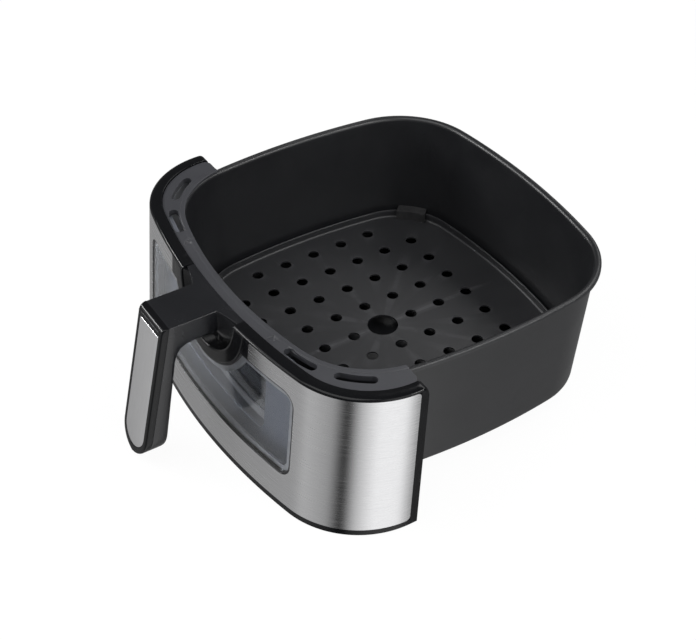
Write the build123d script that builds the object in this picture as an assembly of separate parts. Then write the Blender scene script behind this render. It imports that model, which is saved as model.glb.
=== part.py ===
from build123d import *
import os
from math import atan2, cos, degrees, hypot, radians, sin, sqrt, tan

# Air fryer drawer: a coated pan with a windowed front panel, a handle and a lift-out crisper plate.
# Millimetres. The origin is the middle of the pan's flat base, on its underside. +Z is up, the handle is
# at -Y, and +X is the right-hand side for someone who faces the handle.

# ---- pan -------------------------------------------------------------------------------------------
PAN_HEIGHT = 98.0            # underside of the base to the top of the flange
PAN_HALF_WIDTH = 124.65      # inside edge of the rim, at its widest
PAN_HALF_LENGTH = 118.0      # inside edge of the rim, on the centre line
PAN_SIDE_RADIUS = 485.0      # the four sides are shallow arcs
PAN_FRONT_RADIUS = 329.0
PAN_BACK_RADIUS = 471.0
PAN_CORNER_RADIUS = 57.5
PAN_WALL = 1.2
PAN_DRAFT = 4.5              # degrees
PAN_BASE_RADIUS = 6.0        # outside radius between the wall and the base
FLANGE_WIDTH = 4.6
FLANGE_THICKNESS = 1.6
FLANGE_LIP = 3.0             # the flange's edge is turned down this far

# ---- front panel -----------------------------------------------------------------------------------
PANEL_HALF_WIDTH = 145.5     # at the height of the flange
PANEL_FRONT_RADIUS = 463.0
PANEL_CORNER_RADIUS = 59.6
PANEL_GAP = 18.25            # inside edge of the pan's rim to the panel's face, on the centre line
PANEL_END = 62.0             # the panel's two ends stop this far in front of the origin
PANEL_DROP = 109.0           # from the flange down to the panel's lower edge
PANEL_LEAN = 0.067           # the whole panel moves forward by this share of the depth
PANEL_FLARE = 0.0245         # and grows outwards by this share of it
PANEL_WALL = 3.0
BEAD_WIDTH = 8.5             # shoulder between the panel's face and the top cover
BEAD_HEIGHT = 2.0
BEAD_CHAMFER = 2.5
BEAD_DEPTH = 4.0
LEDGE_WIDTH = 2.5            # shelf that the cover rests on
LEDGE_THICKNESS = 2.5

SKIN_THICKNESS = 0.8
SKIN_END_BORDER = 5.7        # black border left round the steel
SKIN_LOWER_BORDER = 4.5
SKIN_NOTCH_HALF_WIDTH = 52.0

# ---- top cover -------------------------------------------------------------------------------------
COVER_THICKNESS = 1.45
COVER_LIFT = 0.05            # above the flange
COVER_GAP = 0.3              # to the bead round it
COVER_SKIRT = 1.6            # low rib under the plate's outer edge, standing on the ledge
COVER_SETBACK = 1.0          # its two ends, in front of the panel's
COVER_END_RADIUS = 5.0
VENT_WIDTH = 6.5
VENT_ARC_CENTRE = (66.6, -52.1)
VENT_ARC_RADIUS = 65.2
VENT_ANGLES = ((-84.0, -66.5), (-50.3, -32.2))   # degrees on that arc, inner slot and outer slot
COVER_TO_PAN = 0.4           # inner edge, outside the inside edge of the pan's rim
MARK_RADIUS = 4.2            # small three-sided recess each side of the handle
MARK_PLACE = (56.8, -119.8)
MARK_DEPTH = 0.8

# ---- window ----------------------------------------------------------------------------------------
WINDOW_HALF_WIDTH = 95.5
WINDOW_TOP = 15.0            # below the flange
WINDOW_BOTTOM = 80.0
WINDOW_CORNER_RADIUS = 9.0
GASKET_WIDTH = 1.6
GLASS_THICKNESS = 3.0
GLASS_RECESS = 0.8
RETAINER_THICKNESS = 1.5
RETAINER_LAP = 4.0           # over the pane's edge
RETAINER_OVERLAP = 1.2       # over the panel's wall

# ---- inner liner -----------------------------------------------------------------------------------
LINER_DEPTH = 14.5           # its back, behind the panel's face
LINER_WALL = 1.5
LINER_TOP = 4.5              # below the flange
LINER_BOTTOM_GAP = 3.0       # above the panel's lower edge
LINER_APERTURE_HALF_WIDTH = 56.0
LINER_APERTURE_TOP = 18.0
LINER_APERTURE_BOTTOM = 75.0
LINER_BOSS_GAP = 1.0         # round the boss
POST_RADIUS = 2.6            # posts behind the panel that the liner is screwed to

# ---- window in the pan -----------------------------------------------------------------------------
PORT_HALF_WIDTH = 52.0
PORT_TOP = 25.0              # below the flange
PORT_BOTTOM = 80.0
PORT_CORNER_RADIUS = 8.0
PORT_LAP = 6.0               # glass over the wall
PORT_GASKET = 0.8
PORT_GLASS = 2.5
PORT_FRAME = 0.8
PORT_FRAME_LAP = 3.0         # retaining frame beyond the glass
PORT_GASKET_SETBACK = 0.5    # the seal's inner edge, outside the window's edge
PORT_FRAME_SETBACK = 1.0     # the same for the frame
STUD_OUT = 12.4              # weld studs beside the window, outside its edge
STUD_IN = 9.0                # and this far in from its top and bottom
EAR_HALF_HEIGHT = 5.0
EAR_REACH = 4.0              # past the stud
NUT_RADIUS = 2.9
NUT_HEIGHT = 2.0
NUT_SEAT = 0.1               # between a nut and the frame
THREAD_END = 1.0             # a stud or screw runs on this far past the piece that holds it

# ---- handle ----------------------------------------------------------------------------------------
BOSS_RADIUS = 48.6           # U-shaped black boss that the handle grows from
BOSS_CENTRE = 4.6            # above the flange
BOSS_PROUD = 0.5
BOSS_DEPTH = 10.25           # the panel's face, on the centre line, to the boss's flat back
BOSS_BACK = PAN_HALF_LENGTH + PANEL_GAP - BOSS_DEPTH
BOSS_PLATE = 3.0
ROOT_RADIUS = 34.7
ROOT_CLEARANCE = 0.3
ROOT_LENGTH = 2.0            # straight part of the root before it tapers into the arm
ROOT_TAPER = 5.2
ARM_HALF_WIDTH = 16.5
ARM_HEIGHT = 18.8
HANDLE_TOP = 1.5             # above the flange
GRIP_REACH = 38.75           # the panel's face to the grip's front face, at the height of the flange
GRIP_DEPTH = 13.1            # front face to rear face, at the same height
GRIP_FRONT = PAN_HALF_LENGTH + PANEL_GAP + GRIP_REACH
GRIP_LEAN = 0.224            # forward share of the depth, front face
GRIP_REAR_LEAN = 0.173       # the same, rear face
GRIP_REAR = GRIP_FRONT - GRIP_DEPTH
GRIP_LENGTH = 103.0          # flange to the tip
GRIP_INNER_RADIUS = 14.0     # between the arm and the grip
FASCIA_THICKNESS = 5.0       # black front shell of the grip
FASCIA_TOP_RADIUS = 4.0
SEAM = 0.05                  # between the front shell and what it touches
INSERT_HALF_WIDTH = 12.8
INSERT_TOP = 5.2             # below the flange
INSERT_TIP = 98.0
INSERT_THICKNESS = 1.0
INSERT_GAP = 0.15            # round its edge
CORE_HALF_WIDTH = 9.0        # steel bar inside the handle
CORE_THICKNESS = 3.0
CORE_DEPTH = 9.0             # its level part, below the handle's top
CORE_LOWER_END = 80.0        # below the flange
HANDLE_SCREW_END = 7.5       # from the boss's flat back
FASCIA_SCREW_DROP = 8.0      # below the steel bar's end
FASCIA_SCREW_SINK = 0.2      # its head, behind the insert
FASCIA_SCREW_END = 12.0      # behind the grip's front face

# ---- crisper plate ---------------------------------------------------------------------------------
PLATE_LEVEL = 14.0           # underside, above the pan's base
PLATE_THICKNESS = 1.2
PLATE_GAP = 3.0              # to the pan's wall
PLATE_RIM = 7.0
HOLE_RADIUS = 4.2
HOLE_PITCH = 24.0
HOLE_EDGE = 14.0
FINGER_HOLE_RADIUS = 11.0
BUMPER_LENGTH = 22.0
BUMPER_THICKNESS = 5.0
BUMPER_CAP = 1.5             # over the plate's rim
BUMPER_GAP = 0.35            # to the pan

# ---- fasteners -------------------------------------------------------------------------------------
SCREW_RADIUS = 1.5
HEAD_RADIUS = 2.9
HEAD_HEIGHT = 1.6
SOCKET_RADIUS = 0.9
SOCKET_DEPTH = 0.7
PAN_SCREW_X = 84.0
PAN_SCREW_LEVELS = (34.0, 62.0)
FIT = 0.3                    # clearance between neighbouring pieces

RIM = PAN_HEIGHT
PAST = 1.0                   # a cutting solid runs this far past the face that it opens
HOLE_REACH = 6.0             # a screw's hole runs this far past a thin wall
LONG_REACH = 60.0            # and this far where it crosses the space in front of the pan
FAR = 400.0                  # longer than anything that a cutting solid has to pass
INWARD = -45.0               # well past the pan's wall, seen from the panel's face


# ---- arcs shared by everything that follows the pan or the panel --------------------------------------
def meeting_point(centre_a, radius_a, centre_b, radius_b, towards):
    """Point where two circles cross, on the side that `towards` points to."""
    dx = centre_b[0] - centre_a[0]
    dy = centre_b[1] - centre_a[1]
    gap = hypot(dx, dy)
    along = (radius_a ** 2 - radius_b ** 2 + gap ** 2) / (2 * gap)
    across = sqrt(radius_a ** 2 - along ** 2)
    base = (centre_a[0] + along * dx / gap, centre_a[1] + along * dy / gap)
    sides = [(base[0] - s * across * dy / gap, base[1] + s * across * dx / gap) for s in (1, -1)]
    return max(sides, key=lambda p: p[0] * towards[0] + p[1] * towards[1])


def angle_from(centre, point):
    return degrees(atan2(point[1] - centre[1], point[0] - centre[0]))


def arc(centre, radius, start, end):
    """Arc from the start angle to the end angle, in degrees."""
    ends = [(centre[0] + radius * cos(radians(a)), centre[1] + radius * sin(radians(a)))
            for a in (start, (start + end) / 2, end)]
    return ThreePointArc(*ends)


SIDE_CENTRE = (PAN_HALF_WIDTH - PAN_SIDE_RADIUS, 0.0)
FRONT_CENTRE = (0.0, -PAN_HALF_LENGTH + PAN_FRONT_RADIUS)
BACK_CENTRE = (0.0, PAN_HALF_LENGTH - PAN_BACK_RADIUS)
FRONT_CORNER = meeting_point(SIDE_CENTRE, PAN_SIDE_RADIUS - PAN_CORNER_RADIUS,
                             FRONT_CENTRE, PAN_FRONT_RADIUS - PAN_CORNER_RADIUS, (1, -1))
BACK_CORNER = meeting_point(SIDE_CENTRE, PAN_SIDE_RADIUS - PAN_CORNER_RADIUS,
                            BACK_CENTRE, PAN_BACK_RADIUS - PAN_CORNER_RADIUS, (1, 1))


def pan_face(grow, z):
    """The pan's outline, moved outwards by `grow`, as a face at height z."""
    front_turn = angle_from(FRONT_CENTRE, FRONT_CORNER)
    side_low = angle_from(SIDE_CENTRE, FRONT_CORNER)
    side_high = angle_from(SIDE_CENTRE, BACK_CORNER)
    back_turn = angle_from(BACK_CENTRE, BACK_CORNER)
    right = [
        arc(FRONT_CORNER, PAN_CORNER_RADIUS + grow, front_turn, side_low),
        arc(SIDE_CENTRE, PAN_SIDE_RADIUS + grow, side_low, side_high),
        arc(BACK_CORNER, PAN_CORNER_RADIUS + grow, side_high, back_turn),
    ]
    left = [edge.mirror(Plane.YZ) for edge in right]
    front = arc(FRONT_CENTRE, PAN_FRONT_RADIUS + grow, -180 - front_turn, front_turn)
    back = arc(BACK_CENTRE, PAN_BACK_RADIUS + grow, back_turn, 180 - back_turn)
    return Pos(0, 0, z) * make_face([front, *right, back, *left])


def draft_inset(z):
    """How far the pan's wall has come in at height z."""
    return (RIM - z) * tan(radians(PAN_DRAFT))


def pan_block(grow, low, high):
    """Solid inside the pan's tapering wall surface, moved outwards by `grow`."""
    return loft([pan_face(grow - draft_inset(low), low), pan_face(grow - draft_inset(high), high)],
                ruled=True)


def pan_layer(outer, inner, low, high):
    """A skin between two surfaces that follow the pan's wall."""
    return pan_block(outer, low, high) - pan_block(inner, low, high)


PANEL_CORNER_X = PANEL_HALF_WIDTH - PANEL_CORNER_RADIUS
PANEL_APEX = -(PAN_HALF_LENGTH + PANEL_GAP)
PANEL_CENTRE_Y = PANEL_APEX + PANEL_FRONT_RADIUS
PANEL_CORNER_Y = PANEL_CENTRE_Y - sqrt((PANEL_FRONT_RADIUS - PANEL_CORNER_RADIUS) ** 2
                                       - PANEL_CORNER_X ** 2)
PANEL_BOTTOM = RIM - PANEL_DROP


def panel_face(outer, inner, z, end_gap=0.0):
    """Cross-section of the panel at height z, between two distances from its face."""
    depth = RIM - z
    shift = -PANEL_LEAN * depth
    grow = PANEL_FLARE * depth
    front_centre = (0.0, PANEL_CENTRE_Y + shift)
    corner = (PANEL_CORNER_X, PANEL_CORNER_Y + shift)
    turn = angle_from(front_centre, corner)
    end_y = -PANEL_END + shift - end_gap

    def run(offset):
        front_radius = PANEL_FRONT_RADIUS + grow + offset
        corner_radius = PANEL_CORNER_RADIUS + grow + offset
        side = PANEL_CORNER_X + corner_radius
        front = arc(front_centre, front_radius, -180 - turn, turn)
        if end_y < corner[1]:
            stop = -degrees(atan2(corner[1] - end_y, sqrt(corner_radius ** 2 - (corner[1] - end_y) ** 2)))
            right = [arc(corner, corner_radius, turn, stop)]
        else:
            right = [arc(corner, corner_radius, turn, 0), Line((side, corner[1]), (side, end_y))]
        left = [edge.mirror(Plane.YZ) for edge in right]
        return [front, *right, *left], right[-1] @ 1

    outside, outer_tip = run(outer)
    inside, inner_tip = run(inner)
    ends = [Line((s * outer_tip.X, end_y), (s * inner_tip.X, end_y)) for s in (1, -1)]
    return Pos(0, 0, z) * make_face([*outside, *inside, *ends])


def panel_band(outer, inner, low, high, end_gap=0.0, top_outer=None):
    """Curved wall between two distances from the panel's face and two heights."""
    upper = outer if top_outer is None else top_outer
    return loft([panel_face(outer, inner, low, end_gap), panel_face(upper, inner, high, end_gap)],
                ruled=True)


def front_prism(face_xz):
    """Solid that stands on a face drawn in X and Z and passes right through the front."""
    return extrude(Plane.XZ * face_xz, amount=FAR)


def upright_box(x0, x1, y0, y1, z0, z1):
    return Pos((x0 + x1) / 2, (y0 + y1) / 2, (z0 + z1) / 2) * Box(x1 - x0, y1 - y0, z1 - z0)


# ---- window outlines ---------------------------------------------------------------------------------
def round_rectangle(half_width, low, high, radius):
    middle = Pos(0, (low + high) / 2)
    return middle * RectangleRounded(2 * half_width, high - low, radius)


def window_face(grow):
    """Window outline moved outwards by `grow`: a rounded oblong with the boss bitten out of its top."""
    low = RIM - WINDOW_BOTTOM - grow
    high = RIM - WINDOW_TOP + grow
    oblong = round_rectangle(WINDOW_HALF_WIDTH + grow, low, high, WINDOW_CORNER_RADIUS + grow)
    return oblong - Pos(0, RIM + BOSS_CENTRE) * Circle(BOSS_RADIUS - grow)


def port_face(grow):
    low = RIM - PORT_BOTTOM - grow
    high = RIM - PORT_TOP + grow
    return round_rectangle(PORT_HALF_WIDTH + grow, low, high, PORT_CORNER_RADIUS + grow)


# ---- screws ------------------------------------------------------------------------------------------
def panel_spot(x, z):
    """Place on the panel's front curve, with its Z axis along the outward normal."""
    depth = RIM - z
    centre = (0.0, PANEL_CENTRE_Y - PANEL_LEAN * depth)
    radius = PANEL_FRONT_RADIUS + PANEL_FLARE * depth
    y = centre[1] - sqrt(radius ** 2 - x ** 2)
    rise = PANEL_LEAN * (centre[1] - y) / radius + PANEL_FLARE
    normal = Vector(x / radius, (y - centre[1]) / radius, rise).normalized()
    return Plane(origin=(x, y, z), z_dir=normal)


def pan_spot(x, z):
    """Place on the outside of the pan's front wall or front corner, Z axis along the outward normal."""
    front_turn = angle_from(FRONT_CENTRE, FRONT_CORNER)
    centre = FRONT_CENTRE
    radius = PAN_FRONT_RADIUS
    if abs(x) > FRONT_CORNER[0] + PAN_CORNER_RADIUS * cos(radians(front_turn)):
        centre = (FRONT_CORNER[0] * (1 if x > 0 else -1), FRONT_CORNER[1])
        radius = PAN_CORNER_RADIUS
    radius += PAN_WALL - draft_inset(z)
    dx = x - centre[0]
    dy = -sqrt(radius ** 2 - dx ** 2)
    normal = Vector(dx / radius, dy / radius, -tan(radians(PAN_DRAFT))).normalized()
    return Plane(origin=(x, centre[1] + dy, z), z_dir=normal)


def rod(spot, radius, start, end):
    """Cylinder on a place's axis, from one distance along it to another."""
    return spot * (Pos(0, 0, (start + end) / 2) * Cylinder(radius, end - start))


def screw(spot, head_start, shank_end):
    """Pan-head screw: the head starts at head_start, and the shank runs on to shank_end."""
    way = 1 if shank_end > head_start else -1
    head_end = head_start + way * HEAD_HEIGHT
    head = rod(spot, HEAD_RADIUS, min(head_start, head_end), max(head_start, head_end))
    shank = rod(spot, SCREW_RADIUS, min(head_end, shank_end), max(head_end, shank_end))
    socket = rod(spot, SOCKET_RADIUS, head_start - SOCKET_DEPTH, head_start + SOCKET_DEPTH)
    return head + shank - socket


def joined(solids):
    return Compound(children=[solid for item in solids for solid in item.solids()])


# ---- pan ---------------------------------------------------------------------------------------------
PAN_SCREW_SPOTS = [(s * PAN_SCREW_X, z) for s in (-1, 1) for z in PAN_SCREW_LEVELS]
PAN_SCREW_HEAD = -(PAN_WALL + FIT + HEAD_HEIGHT)     # inside the wall
STUD_SPOTS = [(s * (PORT_HALF_WIDTH + STUD_OUT), z) for s in (-1, 1)
              for z in (RIM - PORT_BOTTOM + STUD_IN, RIM - PORT_TOP - STUD_IN)]


def make_pan():
    outside = pan_block(PAN_WALL, 0.0, RIM)
    base_edges = outside.edges().group_by(Axis.Z)[0]
    outside = fillet(base_edges, PAN_BASE_RADIUS)
    inside = pan_block(0.0, PAN_WALL, RIM + PAST)
    inside_edges = inside.edges().group_by(Axis.Z)[0]
    inside = fillet(inside_edges, PAN_BASE_RADIUS - PAN_WALL)
    flange_under = RIM - FLANGE_THICKNESS
    flange = extrude(pan_face(FLANGE_WIDTH, flange_under), amount=FLANGE_THICKNESS)
    lip_low = RIM - FLANGE_LIP
    lip = extrude(pan_face(FLANGE_WIDTH, lip_low), amount=FLANGE_LIP)
    lip -= extrude(pan_face(FLANGE_WIDTH - PAN_WALL, lip_low), amount=FLANGE_LIP)
    pan = outside + flange + lip - inside
    pan -= front_prism(port_face(0.0))
    for x, z in PAN_SCREW_SPOTS:
        pan -= rod(pan_spot(x, z), SCREW_RADIUS + FIT, -HOLE_REACH, HOLE_REACH)
    for x, z in STUD_SPOTS:
        pan += rod(pan_spot(x, z), SCREW_RADIUS, -PAN_WALL / 2, PORT_FRAME + NUT_HEIGHT + THREAD_END)
    return pan


def port_ring(outer, inner, grow, hole):
    """Ring or pane against the outside of the pan's wall, round its window."""
    layer = pan_layer(PAN_WALL + outer, PAN_WALL + inner, 0.0, RIM)
    piece = layer & front_prism(port_face(grow))
    if hole is not None:
        piece -= front_prism(port_face(hole))
    return piece


def make_port_gasket():
    return port_ring(PORT_GASKET, 0.0, PORT_LAP, PORT_GASKET_SETBACK)


def make_port_glass():
    return port_ring(PORT_GASKET + PORT_GLASS, PORT_GASKET, PORT_LAP, None)


def make_port_frame():
    """Pressed steel frame over the glass's edge, with a rim and four ears against the pan's wall."""
    top = PORT_GASKET + PORT_GLASS + PORT_FRAME
    outline = PORT_LAP + PORT_FRAME_LAP
    face = port_ring(top, PORT_GASKET + PORT_GLASS, outline, PORT_FRAME_SETBACK)
    rim = port_ring(top, 0.0, outline, PORT_LAP + FIT)
    sheet = pan_layer(PAN_WALL + PORT_FRAME, PAN_WALL, 0.0, RIM)
    frame = face + rim
    for x, z in STUD_SPOTS:
        side = 1 if x > 0 else -1
        x0, x1 = sorted((side * (PORT_HALF_WIDTH + outline - PORT_FRAME), x + side * EAR_REACH))
        frame += sheet & upright_box(x0, x1, -FAR, 0, z - EAR_HALF_HEIGHT, z + EAR_HALF_HEIGHT)
    for x, z in STUD_SPOTS:
        frame -= rod(pan_spot(x, z), SCREW_RADIUS + FIT / 2, -HOLE_REACH, 2 * HOLE_REACH)
    return frame


def make_port_nuts():
    nuts = []
    for x, z in STUD_SPOTS:
        spot = pan_spot(x, z)
        outline = Pos(0, 0, PORT_FRAME + NUT_SEAT) * RegularPolygon(NUT_RADIUS, 6)
        nuts.append(spot * extrude(outline, amount=NUT_HEIGHT) - rod(spot, SCREW_RADIUS, 0.0, HOLE_REACH))
    return joined(nuts)


# ---- front panel -------------------------------------------------------------------------------------
LINER_POSTS = [(x, PANEL_BOTTOM + 11.5) for x in (-60.0, 0.0, 60.0)]
LINER_POSTS += [(x, RIM - 8.7) for x in (-62.0, 62.0)]
HANDLE_SCREW_X = (-20.0, 20.0)
HANDLE_SCREW_DROP = 12.0     # below the flange


def boss_disc(radius, centre_z, back=BOSS_BACK):
    """Disc-shaped prism from a flat back out through the panel's face, cut off level with the flange."""
    disc = extrude(Plane.XZ * (Pos(0, centre_z) * Circle(radius)), amount=FAR)
    disc = Pos(0, -back, 0) * disc
    return disc & upright_box(-FAR, FAR, -FAR, FAR, -FAR, RIM)


def handle_screw_spots():
    level = RIM - HANDLE_SCREW_DROP
    return [Plane(origin=(x, -BOSS_BACK, level), z_dir=(0, -1, 0)) for x in HANDLE_SCREW_X]


def make_panel_frame():
    wall = panel_band(0.0, -PANEL_WALL, PANEL_BOTTOM, RIM)
    wall -= front_prism(window_face(GASKET_WIDTH))
    shoulder = panel_band(0.0, -BEAD_WIDTH, RIM - BEAD_DEPTH, RIM)
    bead = panel_band(0.0, -BEAD_WIDTH, RIM, RIM + BEAD_HEIGHT, top_outer=-BEAD_CHAMFER)
    ledge = panel_band(-BEAD_WIDTH, -BEAD_WIDTH - LEDGE_WIDTH, RIM - BEAD_DEPTH,
                       RIM - BEAD_DEPTH + LEDGE_THICKNESS)
    front = panel_band(BOSS_PROUD, INWARD, PANEL_BOTTOM, RIM)
    boss = boss_disc(BOSS_RADIUS - GASKET_WIDTH, RIM + BOSS_CENTRE) & front
    frame = wall + shoulder + bead + ledge + boss
    frame -= boss_disc(ROOT_RADIUS + ROOT_CLEARANCE, RIM + HANDLE_TOP, BOSS_BACK + BOSS_PLATE)
    root_width = ROOT_RADIUS + ROOT_CLEARANCE
    frame -= upright_box(-root_width, root_width, -FAR, 0, RIM, RIM + FAR)
    frame -= skin_layer(PAST)
    for x, z in LINER_POSTS:
        spot = panel_spot(x, z)
        frame += rod(spot, POST_RADIUS, -(LINER_DEPTH - LINER_WALL - FIT), -PANEL_WALL / 2 - SKIN_THICKNESS)
        frame -= rod(spot, SCREW_RADIUS, -(LINER_DEPTH - LINER_WALL), -PANEL_WALL)
    for spot in handle_screw_spots():
        frame -= rod(spot, SCREW_RADIUS + FIT, -PAST, BOSS_PLATE + PAST)
    return frame


def skin_layer(outer):
    """The steel skin's own space, from its back out to `outer`, with the handle's notch left out."""
    low = PANEL_BOTTOM + SKIN_LOWER_BORDER
    layer = panel_band(outer, -SKIN_THICKNESS, low, RIM, SKIN_END_BORDER)
    layer -= upright_box(-SKIN_NOTCH_HALF_WIDTH, SKIN_NOTCH_HALF_WIDTH, -FAR, 0,
                         RIM - WINDOW_TOP - WINDOW_CORNER_RADIUS, RIM + PAST)
    return layer - front_prism(Pos(0, RIM + BOSS_CENTRE) * Circle(BOSS_RADIUS))


def make_steel_skin():
    return skin_layer(0.0) - front_prism(window_face(GASKET_WIDTH))


def make_window_glass():
    pane = panel_band(-GLASS_RECESS, -GLASS_RECESS - GLASS_THICKNESS, PANEL_BOTTOM, RIM)
    return pane & front_prism(window_face(0.0))


def make_window_gasket():
    seal = panel_band(-GLASS_RECESS / 2, -GLASS_RECESS - GLASS_THICKNESS, PANEL_BOTTOM, RIM)
    seal &= front_prism(window_face(GASKET_WIDTH))
    return seal - front_prism(window_face(0.0))


def make_window_retainer():
    """Frame behind the pane that clamps it and its seal."""
    front = -GLASS_RECESS - GLASS_THICKNESS
    ring = panel_band(front, front - RETAINER_THICKNESS, PANEL_BOTTOM, RIM)
    ring &= front_prism(window_face(GASKET_WIDTH + RETAINER_OVERLAP) - window_face(-RETAINER_LAP))
    return ring - front_prism(Pos(0, RIM + BOSS_CENTRE) * Circle(BOSS_RADIUS - GASKET_WIDTH + FIT))


def make_top_cover():
    outline = panel_face(-BEAD_WIDTH - COVER_GAP, INWARD, RIM + COVER_LIFT, COVER_SETBACK)
    plate = extrude(outline, amount=COVER_THICKNESS)
    plate -= extrude(pan_face(COVER_TO_PAN, RIM), amount=COVER_THICKNESS + PAST)
    outer_ends = plate.edges().filter_by(Axis.Z).group_by(Axis.Y)[-1]
    outer_ends = outer_ends.sort_by(Axis.X)
    plate = fillet([outer_ends[0], outer_ends[-1]], COVER_END_RADIUS)
    for side in (0, 1):
        for start, end in VENT_ANGLES:
            path = arc(VENT_ARC_CENTRE, VENT_ARC_RADIUS, start, end)
            path = path.mirror(Plane.YZ) if side else path
            slot = Pos(0, 0, RIM) * make_face(offset(path, VENT_WIDTH / 2, side=Side.BOTH).edges())
            plate -= extrude(slot, amount=COVER_THICKNESS + PAST)
    top = RIM + COVER_LIFT + COVER_THICKNESS
    mark = Pos(*MARK_PLACE, top - MARK_DEPTH) * extrude(RegularPolygon(MARK_RADIUS, 3), amount=MARK_DEPTH)
    plate -= mark
    plate -= mark.mirror(Plane.YZ)
    outer = -BEAD_WIDTH - COVER_GAP
    skirt = panel_band(outer, outer - COVER_SKIRT, RIM - BEAD_DEPTH + LEDGE_THICKNESS, RIM + COVER_LIFT,
                       COVER_END_RADIUS + COVER_SETBACK)
    skirt -= upright_box(-BOSS_RADIUS, BOSS_RADIUS, -FAR, 0, 0, RIM + COVER_LIFT)
    return plate + skirt


# ---- liner and the blocks that join the panel to the pan ---------------------------------------------
def make_panel_liner():
    low = PANEL_BOTTOM + LINER_BOTTOM_GAP
    high = RIM - LINER_TOP
    shell = panel_band(-PANEL_WALL - FIT, -LINER_DEPTH, low, high, FIT)
    room = panel_band(-PANEL_WALL, -LINER_DEPTH + LINER_WALL, low + LINER_WALL, high - LINER_WALL,
                      FIT + LINER_WALL)
    liner = shell - room
    aperture = round_rectangle(LINER_APERTURE_HALF_WIDTH, RIM - LINER_APERTURE_BOTTOM,
                               RIM - LINER_APERTURE_TOP, PORT_CORNER_RADIUS)
    liner -= front_prism(aperture)
    liner -= front_prism(Pos(0, RIM + BOSS_CENTRE) * Circle(BOSS_RADIUS + LINER_BOSS_GAP))
    for x, z in LINER_POSTS:
        liner -= rod(panel_spot(x, z), SCREW_RADIUS + FIT, -LINER_DEPTH - HOLE_REACH, 0.0)
    for x, z in PAN_SCREW_SPOTS:
        liner -= rod(pan_spot(x, z), SCREW_RADIUS, -HOLE_REACH, LONG_REACH)
    return liner


BLOCK_INNER = 70.0           # the blocks' extent across and up
BLOCK_OUTER = 100.0
BLOCK_LOW = 22.0
BLOCK_HIGH = 74.0


def make_mounting_block(side):
    """Moulded block that fills the gap between the pan's wall and the liner."""
    gap = panel_band(-LINER_DEPTH, INWARD, BLOCK_LOW, BLOCK_HIGH)
    gap -= pan_block(PAN_WALL, BLOCK_LOW - PAST, BLOCK_HIGH + PAST)
    x0, x1 = sorted((side * BLOCK_INNER, side * BLOCK_OUTER))
    block = gap & upright_box(x0, x1, -FAR, 0, BLOCK_LOW, BLOCK_HIGH)
    block = max(block.solids(), key=lambda solid: solid.volume)
    for x, z in PAN_SCREW_SPOTS:
        block -= rod(pan_spot(x, z), SCREW_RADIUS, -HOLE_REACH, LONG_REACH)
    return block


def gap_to_panel(spot):
    """Level distance from a place on the pan's wall to the panel's face, along the place's axis."""
    depth = RIM - spot.origin.Z
    dx = spot.origin.X
    dy = spot.origin.Y - PANEL_CENTRE_Y + PANEL_LEAN * depth
    radius = PANEL_FRONT_RADIUS + PANEL_FLARE * depth
    along = dx * spot.z_dir.X + dy * spot.z_dir.Y
    return sqrt(along ** 2 + radius ** 2 - dx ** 2 - dy ** 2) - along


def make_pan_screws():
    """Screws from inside the pan, through its wall and the blocks into the liner."""
    screws = []
    for x, z in PAN_SCREW_SPOTS:
        spot = pan_spot(x, z)
        shank_end = gap_to_panel(spot) - LINER_DEPTH + LINER_WALL + THREAD_END
        screws.append(screw(spot, PAN_SCREW_HEAD, shank_end))
    return joined(screws)


def make_liner_screws():
    head_start = -LINER_DEPTH - FIT - HEAD_HEIGHT
    return joined([screw(panel_spot(x, z), head_start, -PANEL_WALL - THREAD_END) for x, z in LINER_POSTS])


# ---- handle ------------------------------------------------------------------------------------------
GRIP_OVERRUN = 20.0          # profiles run on this far past the grip before they are trimmed
HANDLE_SEAT = -BOSS_BACK - BOSS_PLATE    # front of the plate that the handle is screwed to


def grip_slab(front, rear, top=HANDLE_TOP):
    """Leaning slab as wide as the arm: `front` and `rear` are distances behind the grip's front face."""
    low = -GRIP_LENGTH - GRIP_OVERRUN
    points = [(-GRIP_FRONT + GRIP_LEAN * h + d, RIM + h)
              for d, h in ((front, low), (front, top), (rear, top), (rear, low))]
    profile = make_face(Polyline(*points, close=True))
    return extrude(Plane.YZ * profile, amount=ARM_HALF_WIDTH, both=True)


def grip_outline(inset, tip):
    """Front view of the grip: straight sides and a half-round tip."""
    half = ARM_HALF_WIDTH - inset
    centre = RIM - tip + half
    top = RIM + GRIP_OVERRUN
    column = Pos(0, (centre + top) / 2) * Rectangle(2 * half, top - centre)
    return column + Pos(0, centre) * Circle(half)


def handle_solid():
    """Arm and grip in one side profile, before the front shell is taken off."""
    top = RIM + HANDLE_TOP
    under = top - ARM_HEIGHT
    low = RIM - GRIP_LENGTH - GRIP_OVERRUN
    rear_under = -GRIP_REAR - GRIP_REAR_LEAN * (RIM - under)
    rear_low = -GRIP_REAR - GRIP_REAR_LEAN * (RIM - low)
    front_low = -GRIP_FRONT - GRIP_LEAN * (RIM - low)
    front_top = -GRIP_FRONT - GRIP_LEAN * (RIM - top)
    profile = Polyline((PANEL_APEX, top), (PANEL_APEX, under), (rear_under, under), (rear_low, low),
                       (front_low, low), (front_top, top), close=True)
    body = extrude(Plane.YZ * make_face(profile), amount=ARM_HALF_WIDTH, both=True)
    elbow = body.edges().filter_by(Axis.X).sort_by_distance((0, rear_under, under))[0]
    body = fillet(elbow, GRIP_INNER_RADIUS)
    return body & front_prism(grip_outline(0.0, GRIP_LENGTH))


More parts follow.
